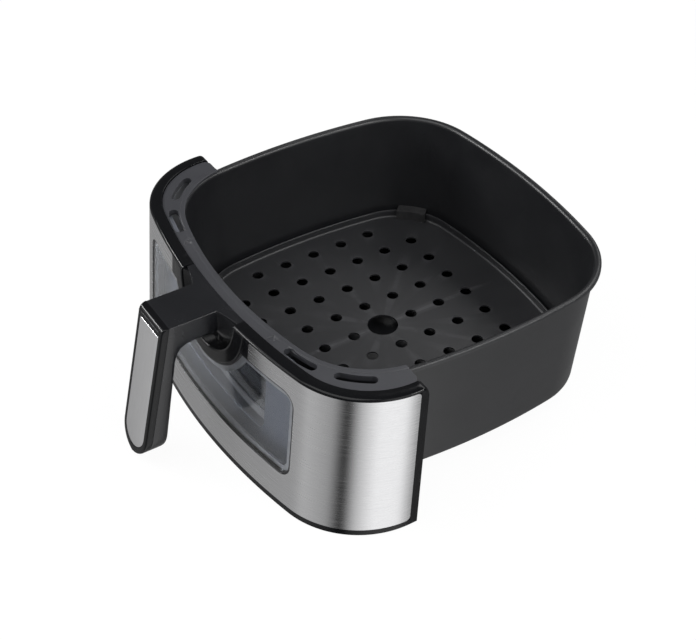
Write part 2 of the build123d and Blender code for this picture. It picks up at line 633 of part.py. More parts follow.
def core_profile():
    """Side view of the steel bar: level in the arm, then down behind the front shell."""
    level = RIM + HANDLE_TOP - CORE_DEPTH
    end = RIM - CORE_LOWER_END
    seam = FASCIA_THICKNESS
    back = seam + CORE_THICKNESS

    def front(z, behind):
        return (-GRIP_FRONT - GRIP_LEAN * (RIM - z) + behind, z)

    start = HANDLE_SEAT - ROOT_CLEARANCE
    return Polyline((start, level), front(level, seam), front(end, seam), front(end, back),
                    front(level - CORE_THICKNESS, back), (start, level - CORE_THICKNESS), close=True)


def make_handle_core():
    return extrude(Plane.YZ * make_face(core_profile()), amount=CORE_HALF_WIDTH, both=True)


def make_handle_body():
    body = handle_solid() - grip_slab(-GRIP_OVERRUN, FASCIA_THICKNESS, top=GRIP_OVERRUN)
    root_axis = Plane(origin=(0, HANDLE_SEAT - ROOT_CLEARANCE, RIM + HANDLE_TOP), z_dir=(0, -1, 0))
    disc = root_axis * extrude(Circle(ROOT_RADIUS), amount=ROOT_LENGTH)
    taper = root_axis * (Pos(0, 0, ROOT_LENGTH + ROOT_TAPER / 2)
                         * Cone(ROOT_RADIUS, ARM_HALF_WIDTH, ROOT_TAPER))
    root = (disc + taper) & upright_box(-FAR, FAR, -FAR, FAR, 0, RIM + HANDLE_TOP)
    tongue = upright_box(-ROOT_RADIUS, ROOT_RADIUS, HANDLE_SEAT - PAST,
                         PANEL_APEX + BEAD_WIDTH + COVER_GAP / 2, RIM + FIT, RIM + HANDLE_TOP)
    arm_root = upright_box(-ARM_HALF_WIDTH, ARM_HALF_WIDTH, PANEL_APEX - PAST, HANDLE_SEAT - ROOT_CLEARANCE,
                           RIM + HANDLE_TOP - ARM_HEIGHT, RIM + HANDLE_TOP)
    body = body + root + tongue + arm_root - make_handle_core()
    for spot in handle_screw_spots():
        body -= rod(spot, SCREW_RADIUS, 0.0, HANDLE_SCREW_END + THREAD_END)
    body -= rod(fascia_screw_spot(), SCREW_RADIUS, -FASCIA_SCREW_END - THREAD_END, 0.0)
    return body


def fascia_screw_spot():
    """Place on the centre line of the grip's front face, below the steel bar, normal outward."""
    drop = CORE_LOWER_END + FASCIA_SCREW_DROP
    return Plane(origin=(0, -GRIP_FRONT - GRIP_LEAN * drop, RIM - drop), z_dir=(0, -1, GRIP_LEAN))


def make_grip_fascia():
    shell = handle_solid() & grip_slab(0.0, FASCIA_THICKNESS - SEAM, top=HANDLE_TOP)
    top_front = shell.edges().filter_by(Axis.X).sort_by_distance((0, -GRIP_FRONT, RIM + HANDLE_TOP))[0]
    shell = fillet(top_front, FASCIA_TOP_RADIUS)
    shell -= insert_solid(INSERT_GAP, INSERT_THICKNESS + SEAM)
    spot = fascia_screw_spot()
    shell -= rod(spot, SCREW_RADIUS + FIT, -2 * FASCIA_THICKNESS, PAST)
    return shell - rod(spot, HEAD_RADIUS + FIT, -INSERT_THICKNESS - FASCIA_SCREW_SINK - HEAD_HEIGHT, PAST)


def insert_solid(clearance, depth):
    """The insert, or with a clearance and a greater depth the recess that it lies in."""
    outline = grip_outline(ARM_HALF_WIDTH - INSERT_HALF_WIDTH - clearance, INSERT_TIP + clearance)
    outline &= Pos(0, RIM - INSERT_TOP + clearance - FAR / 2) * Rectangle(FAR, FAR)
    return grip_slab(0.0, depth) & front_prism(outline)


def make_grip_insert():
    return insert_solid(0.0, INSERT_THICKNESS)


def make_handle_screws():
    return joined([screw(spot, -HEAD_HEIGHT, HANDLE_SCREW_END) for spot in handle_screw_spots()])


def make_fascia_screw():
    return screw(fascia_screw_spot(), -INSERT_THICKNESS - FASCIA_SCREW_SINK, -FASCIA_SCREW_END)


# ---- crisper plate -----------------------------------------------------------------------------------
def plate_grow():
    """The plate's edge against the pan's outline at the plate's own level."""
    return -draft_inset(PLATE_LEVEL) - PLATE_GAP


def make_crisper_plate():
    sheet = extrude(pan_face(plate_grow(), PLATE_LEVEL), amount=PLATE_THICKNESS)
    rim = extrude(pan_face(plate_grow(), PLATE_LEVEL), amount=PLATE_RIM)
    rim -= extrude(pan_face(plate_grow() - PLATE_THICKNESS, PLATE_LEVEL), amount=PLATE_RIM)
    plate = sheet + rim
    limit = extrude(pan_face(plate_grow() - HOLE_EDGE, PLATE_LEVEL), amount=PLATE_THICKNESS)
    count = int(PAN_HALF_WIDTH // HOLE_PITCH)
    holes = []
    for i in range(-count, count + 1):
        for j in range(-count, count + 1):
            centre = (i * HOLE_PITCH, j * HOLE_PITCH)
            if limit.is_inside(Vector(*centre, PLATE_LEVEL + PLATE_THICKNESS / 2)):
                radius = FINGER_HOLE_RADIUS if i == j == 0 else HOLE_RADIUS
                holes.append(Pos(*centre, PLATE_LEVEL) * Cylinder(radius, 4 * PLATE_THICKNESS))
    return plate - holes


def bumper_cutter(quarter):
    side_x = 1 if quarter in ("front_right", "back_right") else -1
    corner = FRONT_CORNER if quarter.startswith("front") else BACK_CORNER
    outward = 1 if corner[1] > 0 else -1
    spot = Pos(side_x * corner[0], corner[1], 0) * Rot(0, 0, degrees(atan2(outward, side_x)))
    reach = 2 * PAN_CORNER_RADIUS
    return spot * (Pos(reach / 2, 0, 0) * Box(reach, BUMPER_LENGTH, 2 * PAN_HEIGHT))


def make_bumper(quarter):
    """Silicone foot that clips round the plate's rim, and stands on the pan's base."""
    low = PAN_WALL + BUMPER_GAP
    high = PLATE_LEVEL + PLATE_RIM + BUMPER_CAP
    outside = pan_block(-BUMPER_GAP, low, high)
    inner = plate_grow() - BUMPER_THICKNESS
    inside = extrude(pan_face(inner, low), amount=PAN_HEIGHT)
    base_edges = outside.edges().group_by(Axis.Z)[0]
    outside = fillet(base_edges, PAN_BASE_RADIUS - PAN_WALL)
    foot = (outside - inside) & bumper_cutter(quarter)
    sheet = extrude(pan_face(plate_grow(), PLATE_LEVEL), amount=PLATE_RIM)
    sheet -= extrude(pan_face(plate_grow() - PLATE_THICKNESS, PLATE_LEVEL + PLATE_THICKNESS),
                     amount=PLATE_RIM)
    return foot - sheet


# ---- write every node --------------------------------------------------------------------------------
NODES = {
    "pan": make_pan(),
    "pan_window_gasket": make_port_gasket(),
    "pan_window_glass": make_port_glass(),
    "pan_window_frame": make_port_frame(),
    "pan_window_nuts": make_port_nuts(),
    "panel_frame": make_panel_frame(),
    "steel_skin": make_steel_skin(),
    "window_glass": make_window_glass(),
    "window_gasket": make_window_gasket(),
    "window_retainer": make_window_retainer(),
    "top_cover": make_top_cover(),
    "panel_liner": make_panel_liner(),
    "mounting_block_left": make_mounting_block(-1),
    "mounting_block_right": make_mounting_block(1),
    "pan_screws": make_pan_screws(),
    "liner_screws": make_liner_screws(),
    "handle_body": make_handle_body(),
    "handle_core": make_handle_core(),
    "handle_screws": make_handle_screws(),
    "grip_fascia": make_grip_fascia(),
    "fascia_screw": make_fascia_screw(),
    "grip_insert": make_grip_insert(),
    "crisper_plate": make_crisper_plate(),
}
for corner_name in ("front_left", "front_right", "back_left", "back_right"):
    NODES["bumper_" + corner_name] = make_bumper(corner_name)

os.makedirs("parts", exist_ok=True)
for node_name, solid in NODES.items():
    export_step(solid, "parts/" + node_name + ".step")
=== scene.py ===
from math import asin, atan, atan2, cos, degrees, hypot, pi, radians, sin, sqrt

import bmesh
import bpy
import numpy as np
from mathutils import Matrix, Vector


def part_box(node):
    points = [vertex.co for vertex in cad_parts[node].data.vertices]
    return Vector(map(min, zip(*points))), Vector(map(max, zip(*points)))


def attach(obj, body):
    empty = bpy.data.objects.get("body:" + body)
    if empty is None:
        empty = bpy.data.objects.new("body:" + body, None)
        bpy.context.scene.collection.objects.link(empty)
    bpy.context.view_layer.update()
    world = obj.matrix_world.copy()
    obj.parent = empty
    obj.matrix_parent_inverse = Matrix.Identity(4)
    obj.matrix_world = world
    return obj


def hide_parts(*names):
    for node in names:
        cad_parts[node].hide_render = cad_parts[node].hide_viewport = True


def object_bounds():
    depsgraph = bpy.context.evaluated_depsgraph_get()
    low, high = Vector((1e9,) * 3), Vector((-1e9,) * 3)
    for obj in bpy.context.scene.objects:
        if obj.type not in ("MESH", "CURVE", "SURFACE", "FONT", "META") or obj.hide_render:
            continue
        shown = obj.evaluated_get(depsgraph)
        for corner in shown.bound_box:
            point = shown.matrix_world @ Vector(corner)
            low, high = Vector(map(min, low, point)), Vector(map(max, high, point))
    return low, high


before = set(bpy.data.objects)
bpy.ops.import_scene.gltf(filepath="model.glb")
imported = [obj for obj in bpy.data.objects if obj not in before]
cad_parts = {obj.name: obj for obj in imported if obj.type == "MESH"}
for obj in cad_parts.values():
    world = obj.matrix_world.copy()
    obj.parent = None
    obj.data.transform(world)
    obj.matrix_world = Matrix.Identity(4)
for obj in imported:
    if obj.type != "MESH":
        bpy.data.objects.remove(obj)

# Air fryer drawer. Shapes are worked out in millimetres, in the frame's own axes, and written in metres:
# the handle is at -Y, +Z is up, and the pan's base lies on z = 0.

MM = 0.001
cad_low, cad_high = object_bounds()


def corners(node):
    """A node's lowest and highest corners, in millimetres."""
    low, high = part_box(node)
    return np.array(low) / MM, np.array(high) / MM


# ---- sizes read from the frame ---------------------------------------------------------------------
pan_low, pan_high = corners("pan")
panel_low, panel_high = corners("panel_frame")
cover_high = corners("top_cover")[1]
skin_low = corners("steel_skin")[0]
seal_low, seal_high = corners("window_gasket")
body_high = corners("handle_body")[1]
fascia_low, fascia_high = corners("grip_fascia")
insert_low, insert_high = corners("grip_insert")
plate_low, plate_high = corners("crisper_plate")
port_low, port_high = corners("pan_window_glass")

RIM = pan_high[2]

# ---- pan -------------------------------------------------------------------------------------------
FLANGE_WIDTH = 4.6
FLANGE_LIP = 3.0
PAN_HALF_WIDTH = pan_high[0] - FLANGE_WIDTH
PAN_FRONT = pan_low[1] + FLANGE_WIDTH
PAN_BACK = pan_high[1] - FLANGE_WIDTH
SIDE_RADIUS = 485.0
FRONT_RADIUS = 329.0
BACK_RADIUS = 471.0
CORNER_RADIUS = 57.5
PAN_WALL = 1.2
PAN_DRAFT = radians(4.5)
BASE_RADIUS = 6.0
ROLL_RADIUS = 1.8
PORT_LAP = 6.0
PORT_HALF_WIDTH = port_high[0] - PORT_LAP
PORT_LOW = port_low[2] + PORT_LAP
PORT_HIGH = port_high[2] - PORT_LAP
PORT_CORNER = 8.0

# ---- front panel -----------------------------------------------------------------------------------
PANEL_LEAN = 0.067
PANEL_FLARE = 0.0245
PANEL_DEPTH = RIM - panel_low[2]
PANEL_HALF_WIDTH = panel_high[0] - PANEL_FLARE * PANEL_DEPTH
PANEL_APEX = panel_low[1] + (PANEL_LEAN + PANEL_FLARE) * PANEL_DEPTH
PANEL_RADIUS = 463.0
PANEL_CORNER_RADIUS = 59.6
PANEL_END = panel_high[1]
PANEL_WALL = 3.0
BEAD_WIDTH = 8.5
BEAD_DEPTH = 4.0
BEAD_SHOULDER = 2.8
BEAD_TOP = panel_high[2]
END_ROUNDING = 4.5
SKIN_THICKNESS = 0.8
SKIN_BORDER = 5.7
SKIN_LOW = skin_low[2]
NOTCH_HALF_WIDTH = 52.0
NOTCH_ROUNDING = 2.2
SKIN_CORNER = 3.0
HAIR = 0.05                  # sets two rows apart where a surface steps

# ---- window ----------------------------------------------------------------------------------------
GASKET_WIDTH = 1.6
GLASS_RECESS = 0.8
GLASS_THICKNESS = 3.0
WINDOW_HALF_WIDTH = seal_high[0] - GASKET_WIDTH
WINDOW_LOW = seal_low[2] + GASKET_WIDTH
WINDOW_HIGH = seal_high[2] - GASKET_WIDTH
WINDOW_CORNER = 9.0
BOSS_RADIUS = 48.6
BOSS_Z = RIM + 4.6
BOSS_PROUD = 0.5

# ---- handle ----------------------------------------------------------------------------------------
HANDLE_TOP = body_high[2]
ROOT_BACK = -129.3
ROOT_RADIUS = 34.7
ROOT_LENGTH = 2.0
ROOT_TAPER = 5.2
ROOT_GAP = 0.3
ARM_HALF_WIDTH = fascia_high[0]
ARM_HEIGHT = 18.8
GRIP_FRONT = -175.0
FRONT_LEAN = 0.224
GRIP_REAR = -161.9
REAR_LEAN = 0.173
ELBOW_RADIUS = 14.0
GRIP_TIP = fascia_low[2]
FASCIA_THICKNESS = 5.0
FASCIA_ROLL = 4.0
FASCIA_EDGE = 1.6
ROLL_SET_BACK = 0.2          # the roll stands this far behind the front face
INSERT_HALF_WIDTH = insert_high[0]
INSERT_TOP = insert_high[2]
INSERT_TIP = insert_low[2]
INSERT_THICKNESS = 1.0
INSERT_GAP = 0.15
INSERT_EDGE = 0.5
INSERT_CORNER = 1.2

# ---- cover -----------------------------------------------------------------------------------------
COVER_TOP = cover_high[2]
COVER_UNDER = RIM + 0.05
COVER_GAP = 0.3
COVER_CORNER = 5.0
COVER_INNER = 0.4
VENT_CENTRE = np.array((66.6, -52.1))
VENT_RADIUS = 65.2
VENT_HALF_WIDTH = 3.25
VENT_ANGLES = ((-84.0, -66.5), (-50.3, -32.2))
VENT_COLLAR = 3.0
STRIP_WIDTH = 3.2
STRIP_STEP = 0.5
MARK_PLACE = (56.8, -119.8)
MARK_RADIUS = 3.4
MARK_DEPTH = 0.7
DIMPLE_SHIFT = (2.6, 3.6)
DIMPLE_RADIUS = 2.4

# ---- crisper plate ---------------------------------------------------------------------------------
PLATE_LEVEL = plate_low[2]
PLATE_THICKNESS = 1.2
PLATE_GAP = 3.0
PLATE_BEND = 3.0
HOLE_RADIUS = 4.2
HOLE_PITCH = 24.0
HOLE_EDGE = 14.0
FINGER_HOLE_RADIUS = 11.0


# ---- meshes ------------------------------------------------------------------------------------------
def ramp(start, end, count, ease=None):
    """Evenly spaced values from start up to, but not including, end. Easing by a quarter sine crowds them
    towards the end ("out") or the start ("in"), as a rounded corner needs."""
    t = np.linspace(0.0, 1.0, count, endpoint=False)
    if ease == "out":
        t = np.sin(t * pi / 2)
    if ease == "in":
        t = 1.0 - np.cos(t * pi / 2)
    return start + (end - start) * t


def mirrored(right):
    """The same values to both sides of zero, from the lowest to the highest."""
    right = np.asarray(right)
    return np.concatenate([-right[::-1], right[right > 0]] if right[0] == 0 else [-right[::-1], right])


def quads(rows, columns, wrap=False, keep=None):
    """Faces of a grid of points, row by row; wrap joins the last column to the first."""
    row = np.arange(rows - 1)[:, None]
    column = np.arange(columns if wrap else columns - 1)[None, :]
    after = (column + 1) % columns
    faces = np.stack([row * columns + column, row * columns + after,
                      (row + 1) * columns + after, (row + 1) * columns + column], axis=-1)
    return faces[keep] if keep is not None else faces.reshape(-1, 4)


def shell(front, back, faces):
    """Closed solid between two matching sets of points: the faces on the front, the same faces turned over
    on the back, and a wall along every edge that only one face uses."""
    front = front.reshape(-1, 3)
    back = back.reshape(-1, 3)
    count = len(front)
    edges = np.concatenate([faces[:, [i, (i + 1) % 4]] for i in range(4)])
    forward = edges[:, 0] * count + edges[:, 1]
    backward = edges[:, 1] * count + edges[:, 0]
    rim = edges[~np.isin(backward, forward)]
    walls = np.stack([rim[:, 1], rim[:, 0], rim[:, 0] + count, rim[:, 1] + count], axis=1)
    return np.concatenate([front, back]), np.concatenate([faces, faces[:, ::-1] + count, walls])


def tube(points, close_ends=True):
    """Closed solid from a grid whose rows are closed loops, each end filled by a flat face."""
    rows, columns = points.shape[:2]
    faces = quads(rows, columns, wrap=True).tolist()
    if close_ends:
        faces.append(list(range(columns))[::-1])
        faces.append(list(range((rows - 1) * columns, rows * columns)))
    return points.reshape(-1, 3), faces


def ring(points):
    """Solid from a grid that closes both ways, such as a seal."""
    rows, columns = points.shape[:2]
    closed = np.concatenate([points, points[:1]])
    faces = quads(rows + 1, columns, wrap=True) % (rows * columns)
    return closed[:-1].reshape(-1, 3), faces


def join(parts):
    """Several solids' points and faces as one list."""
    points, faces, start = [], [], 0
    for part_points, part_faces in parts:
        part_faces = part_faces.tolist() if isinstance(part_faces, np.ndarray) else part_faces
        faces += [[index + start for index in face] for face in part_faces]
        points.append(part_points)
        start += len(part_points)
    return np.concatenate(points), faces


def new_object(name, points, faces, path=None):
    """Mesh object from points in millimetres. Points that coincide become one, so poles and seams close, and
    a closed piece whose signed volume comes out negative has its faces turned outwards."""
    mesh = bpy.data.meshes.new(name)
    mesh.from_pydata((points * MM).tolist(), [], faces.tolist() if isinstance(faces, np.ndarray) else faces)
    if path is not None:
        layer = mesh.attributes.new("path", "FLOAT_VECTOR", "POINT")
        flat = np.zeros((len(points), 3), np.float32)
        flat[:, :2] = path * MM
        layer.data.foreach_set("vector", flat.ravel())
    work = bmesh.new()
    work.from_mesh(mesh)
    bmesh.ops.remove_doubles(work, verts=work.verts, dist=1e-7)
    loose = [vert for vert in work.verts if not vert.link_faces]
    bmesh.ops.delete(work, geom=loose, context="VERTS")
    if work.calc_volume(signed=True) < 0:
        bmesh.ops.reverse_faces(work, faces=work.faces)
    work.to_mesh(mesh)
    work.free()
    made = bpy.data.objects.new(name, mesh)
    bpy.context.scene.collection.objects.link(made)
    return made


def settle(made):
    """Applies the object's modifiers, so that its mesh is final."""
    bpy.context.view_layer.update()
    evaluated = made.evaluated_get(bpy.context.evaluated_depsgraph_get())
    final = bpy.data.meshes.new_from_object(evaluated)
    made.modifiers.clear()
    made.data = final


def smooth(made, angle=32.0):
    """Smooth shading with sharp edges where two faces meet at more than the angle."""
    mesh = made.data
    mesh.polygons.foreach_set("use_smooth", np.ones(len(mesh.polygons), bool))
    mesh.set_sharp_from_angle(angle=radians(angle))


def lay_path(made):
    """UV map from the point attribute "path", the two directions of the brushing, which it then removes,
    because a map and an attribute can't share a name."""
    mesh = made.data
    flat = np.zeros(len(mesh.vertices) * 3, np.float32)
    mesh.attributes["path"].data.foreach_get("vector", flat)
    mesh.attributes.remove(mesh.attributes["path"])
    corner = np.zeros(len(mesh.loops), np.int32)
    mesh.loops.foreach_get("vertex_index", corner)
    layer = mesh.uv_layers.new(name="path")
    layer.uv.foreach_set("vector", flat.reshape(-1, 3)[corner, :2].ravel())


def cut(made, points, faces):
    """Takes another closed solid out of the piece."""
    tool = new_object(made.name + "_tool", points, faces)
    modifier = made.modifiers.new("cut", "BOOLEAN")
    modifier.operation = "DIFFERENCE"
    modifier.solver = "EXACT"
    modifier.object = tool
    settle(made)
    bpy.data.objects.remove(tool)


def place(made, body, node, finish, angle=32.0):
    """Shades the piece, gives it its finish, hangs it on the body it rides on and hides the node it stands in
    for.
    """
    smooth(made, angle)
    made.data.materials.clear()
    made.data.materials.append(finish)
    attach(made, body)
    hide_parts(node)
    return made


# ---- the pan's outline -------------------------------------------------------------------------------
def crossing(centre_a, radius_a, centre_b, radius_b, towards):
    """Point where two circles cross, on the side that `towards` points to."""
    dx = centre_b[0] - centre_a[0]
    dy = centre_b[1] - centre_a[1]
    gap = hypot(dx, dy)
    along = (radius_a ** 2 - radius_b ** 2 + gap ** 2) / (2 * gap)
    across = sqrt(radius_a ** 2 - along ** 2)
    base = (centre_a[0] + along * dx / gap, centre_a[1] + along * dy / gap)
    sides = [(base[0] - s * across * dy / gap, base[1] + s * across * dx / gap) for s in (1, -1)]
    return max(sides, key=lambda p: p[0] * towards[0] + p[1] * towards[1])


def bearing(centre, point):
    return atan2(point[1] - centre[1], point[0] - centre[0])


side_centre = (PAN_HALF_WIDTH - SIDE_RADIUS, 0.0)
front_centre = (0.0, PAN_FRONT + FRONT_RADIUS)
back_centre = (0.0, PAN_BACK - BACK_RADIUS)
front_corner = crossing(side_centre, SIDE_RADIUS - CORNER_RADIUS, front_centre,
                        FRONT_RADIUS - CORNER_RADIUS, (1, -1))
back_corner = crossing(side_centre, SIDE_RADIUS - CORNER_RADIUS, back_centre, BACK_RADIUS - CORNER_RADIUS,
                       (1, 1))
front_turn = bearing(front_centre, front_corner)
side_start = bearing(side_centre, front_corner)
side_end = bearing(side_centre, back_corner)
back_turn = bearing(back_centre, back_corner)


def pan_loop():
    """The rim's inside edge as one closed loop: four shallow arcs joined by four corner arcs. Each point is
    centre + radius * (cos a, sin a), and (cos a, sin a) is its outward normal. The columns of the front arc
    crowd together at the two ends of the pan's window."""
    join_x = FRONT_RADIUS * cos(front_turn)
    half = np.concatenate([ramp(0.0, PORT_HALF_WIDTH - PORT_CORNER, 14),
                           ramp(PORT_HALF_WIDTH - PORT_CORNER, PORT_HALF_WIDTH, 9, "out"),
                           ramp(PORT_HALF_WIDTH, join_x, 6)])
    across = np.concatenate([[-join_x], mirrored(half)])
    arcs = [(front_centre, FRONT_RADIUS, np.arcsin(across / FRONT_RADIUS) - pi / 2)]
    arcs.append((front_corner, CORNER_RADIUS, ramp(front_turn, side_start, 22)))
    arcs.append((side_centre, SIDE_RADIUS, ramp(side_start, side_end, 26)))
    arcs.append((back_corner, CORNER_RADIUS, ramp(side_end, back_turn, 22)))
    arcs.append((back_centre, BACK_RADIUS, ramp(back_turn, pi - back_turn, 34)))
    points = []
    normals = []
    for centre, radius, angles in arcs:
        normal = np.stack([np.cos(angles), np.sin(angles)], axis=1)
        points.append(np.array(centre) + radius * normal)
        normals.append(normal)
    flip = np.array((-1.0, 1.0))
    for index, (centre, radius, start, end, count) in enumerate((
            (back_corner, CORNER_RADIUS, back_turn, side_end, 22),
            (side_centre, SIDE_RADIUS, side_end, side_start, 26),
            (front_corner, CORNER_RADIUS, side_start, front_turn, 22))):
        angles = ramp(start, end, count)
        normal = np.stack([np.cos(angles), np.sin(angles)], axis=1)
        points.append((np.array(centre) + radius * normal) * flip)
        normals.append(normal * flip)
    return np.concatenate(points), np.concatenate(normals)


rim_points, rim_normals = pan_loop()


def pan_grid(grow, level):
    """Grid that follows the pan's outline: row i is the outline moved outwards by grow[i], at height
    level[i]. Both may also vary from column to column. On the front arc the columns inside the window keep
    their x, so that its sides stay upright."""
    grow = np.broadcast_to(np.asarray(grow, float).reshape(len(grow), -1), (len(grow), len(rim_points)))
    level = np.broadcast_to(np.asarray(level, float).reshape(len(level), -1), grow.shape)
    xy = rim_points[None] + grow[..., None] * rim_normals[None]
    front = np.abs(rim_points[:, 0]) <= PORT_HALF_WIDTH + HAIR
    front &= rim_points[:, 1] < 0
    radius = FRONT_RADIUS + grow[:, front]
    xy[:, front, 0] = rim_points[front, 0]
    xy[:, front, 1] = front_centre[1] - np.sqrt(radius ** 2 - rim_points[front, 0] ** 2)
    return np.concatenate([xy, level[..., None]], axis=2)


def rounded_limits(x, half_width, low, high, corner):
    """Lower and upper edge of a rounded oblong at each x: level between its corners, then down or up a
    quarter circle; past its ends, the heights where the corners start."""
    past = np.clip(np.abs(x) - (half_width - corner), 0.0, corner)
    drop = corner - np.sqrt(corner ** 2 - past ** 2)
    return low + drop, high - drop


# ---- the panel's surface -----------------------------------------------------------------------------
panel_centre_y = PANEL_APEX + PANEL_RADIUS
panel_corner_x = PANEL_HALF_WIDTH - PANEL_CORNER_RADIUS
panel_corner_y = panel_centre_y - sqrt((PANEL_RADIUS - PANEL_CORNER_RADIUS) ** 2 - panel_corner_x ** 2)
panel_turn = asin(panel_corner_x / (PANEL_RADIUS - PANEL_CORNER_RADIUS))
front_run = PANEL_RADIUS * panel_turn
corner_run = front_run + PANEL_CORNER_RADIUS * (pi / 2 - panel_turn)
PANEL_RUN = corner_run + (PANEL_END - panel_corner_y)


def run_at(x):
    """Distance along the panel's front arc at a given x."""
    return PANEL_RADIUS * np.arcsin(np.asarray(x, float) / PANEL_RADIUS)


def panel_points(run, level, offset):
    """Points of the panel at a distance `run` along it from the middle, a height `level` and a distance
    `offset` in front of its face. The outline is a long front arc, a corner arc and a short straight end;
    with the depth below the rim, the whole outline moves forward by PANEL_LEAN * depth and grows outwards
    by PANEL_FLARE * depth."""
    run, level, offset = np.broadcast_arrays(run, level, offset)
    run = run.astype(float)
    side = np.where(run < 0, -1.0, 1.0)
    along = np.abs(run)
    turn = np.where(along <= front_run, along / PANEL_RADIUS,
                    panel_turn + (np.minimum(along, corner_run) - front_run) / PANEL_CORNER_RADIUS)
    on_front = along <= front_run
    nx, ny = np.sin(turn), -np.cos(turn)
    x = np.where(on_front, 0.0, panel_corner_x) + np.where(on_front, PANEL_RADIUS, PANEL_CORNER_RADIUS) * nx
    y = np.where(on_front, panel_centre_y, panel_corner_y)
    y = y + np.where(on_front, PANEL_RADIUS, PANEL_CORNER_RADIUS) * ny + np.maximum(along - corner_run, 0.0)
    depth = RIM - level
    grow = PANEL_FLARE * depth + offset
    return np.stack([side * (x + grow * nx), y + grow * ny - PANEL_LEAN * depth, level], axis=-1)


def window_limits(run, grow):
    """Lower and upper edge of the window, moved outwards by grow, at each distance along the panel."""
    x = PANEL_RADIUS * np.sin(np.clip(run / PANEL_RADIUS, -1, 1))
    return rounded_limits(x, WINDOW_HALF_WIDTH + grow, WINDOW_LOW - grow, WINDOW_HIGH + grow,
                          WINDOW_CORNER + grow)


def round_off(distance, radius):
    """How far a rounded corner has come in at a distance from the end."""
    short = np.clip(radius - distance, 0.0, radius)
    return radius - np.sqrt(radius ** 2 - short ** 2)


# ---- shader groups -----------------------------------------------------------------------------------
def group(name, inputs, outputs):
    """Empty node group with named float inputs, with their defaults, and named outputs."""
    tree = bpy.data.node_groups.new(name, "ShaderNodeTree")
    for label, value in inputs.items():
        socket = tree.interface.new_socket(label, in_out="INPUT", socket_type="NodeSocketFloat")
        socket.default_value = value
    for label, kind in outputs.items():
        tree.interface.new_socket(label, in_out="OUTPUT", socket_type=kind)
    return tree, tree.nodes.new("NodeGroupInput"), tree.nodes.new("NodeGroupOutput")


def node(tree, kind, links=(), **settings):
    """New node with its properties set, and its inputs linked or given values by name or number."""
    made = tree.nodes.new(kind)
    for label, value in settings.items():
        setattr(made, label, value)
    for socket, value in dict(links).items():
        if isinstance(value, bpy.types.NodeSocket):
            tree.links.new(value, made.inputs[socket])
        else:
            made.inputs[socket].default_value = value
    return made


def math_node(tree, operation, first, second):
    return node(tree, "ShaderNodeMath", {0: first, 1: second}, operation=operation).outputs[0]


def remap(tree, value, low, high, to_low, to_high):
    """Value moved from one range to another, smoothly and without leaving it."""
    return node(tree, "ShaderNodeMapRange",
                {"Value": value, "From Min": low, "From Max": high, "To Min": to_low,
                                             "To Max": to_high}, interpolation_type="SMOOTHSTEP").outputs[0]


def make_grain():
    """Moulded or sprayed grain on Object coordinates: fine bumps, and slow patches a hand's width across."""
    tree, given, result = group("grain", {"Scale": 1500.0, "Patch Scale": 30.0},
                                {"Height": "NodeSocketFloat", "Patches": "NodeSocketFloat"})
    place_at = tree.nodes.new("ShaderNodeTexCoord").outputs["Object"]
    fine = node(tree, "ShaderNodeTexNoise",
                {"Vector": place_at, "Scale": given.outputs["Scale"], "Detail": 3.0,
                                             "Roughness": 0.6})
    slow = node(tree, "ShaderNodeTexNoise",
                {"Vector": place_at, "Scale": given.outputs["Patch Scale"], "Detail": 4.0,
                                             "Roughness": 0.55})
    tree.links.new(fine.outputs[0], result.inputs["Height"])
    tree.links.new(slow.outputs[0], result.inputs["Patches"])
    return tree


def make_wear():
    """Handling marks and worn edges: a mask of fine scuffs, and one of outward edges broken up by noise."""
    tree, given, result = group("wear", {"Scuff Scale": 90.0, "Edge Amount": 1.0},
                                {"Scuffs": "NodeSocketFloat", "Edges": "NodeSocketFloat"})
    place_at = tree.nodes.new("ShaderNodeTexCoord").outputs["Object"]
    scuff = node(tree, "ShaderNodeTexNoise",
                 {"Vector": place_at, "Scale": given.outputs["Scuff Scale"], "Detail": 6.0,
                                              "Roughness": 0.7, "Distortion": 0.6})
    patch = remap(tree, scuff.outputs[0], 0.55, 0.78, 0.0, 1.0)
    pointed = tree.nodes.new("ShaderNodeNewGeometry").outputs["Pointiness"]
    edge = remap(tree, pointed, 0.52, 0.62, 0.0, 1.0)
    broken = math_node(tree, "MULTIPLY", edge, remap(tree, scuff.outputs[0], 0.35, 0.6, 0.2, 1.0))
    scaled = math_node(tree, "MULTIPLY", broken, given.outputs["Edge Amount"])
    tree.links.new(patch, result.inputs["Scuffs"])
    tree.links.new(scaled, result.inputs["Edges"])
    return tree


def make_brushing():
    """Brushed lines along the first UV direction: noise stretched many times along it, at two finenesses."""
    tree, given, result = group("brushing", {"Fineness": 9000.0, "Stretch": 60.0},
                                {"Lines": "NodeSocketFloat", "Tone": "NodeSocketFloat"})
    flat = node(tree, "ShaderNodeUVMap", uv_map="path").outputs[0]
    parts = node(tree, "ShaderNodeSeparateXYZ", {0: flat})
    along = math_node(tree, "DIVIDE", parts.outputs[0], given.outputs["Stretch"])
    spread = node(tree, "ShaderNodeCombineXYZ", {0: along, 1: parts.outputs[1]}).outputs[0]
    fine = node(tree, "ShaderNodeTexNoise",
                {"Vector": spread, "Scale": given.outputs["Fineness"], "Detail": 2.0})
    coarse_scale = math_node(tree, "DIVIDE", given.outputs["Fineness"], 7.0)
    coarse = node(tree, "ShaderNodeTexNoise", {"Vector": spread, "Scale": coarse_scale, "Detail": 3.0})
    both = math_node(tree, "ADD", math_node(tree, "MULTIPLY", fine.outputs[0], 0.6),
                     math_node(tree, "MULTIPLY", coarse.outputs[0], 0.4))
    tree.links.new(both, result.inputs["Lines"])
    tree.links.new(coarse.outputs[0], result.inputs["Tone"])
    return tree


GRAIN = make_grain()
WEAR = make_wear()
BRUSHING = make_brushing()


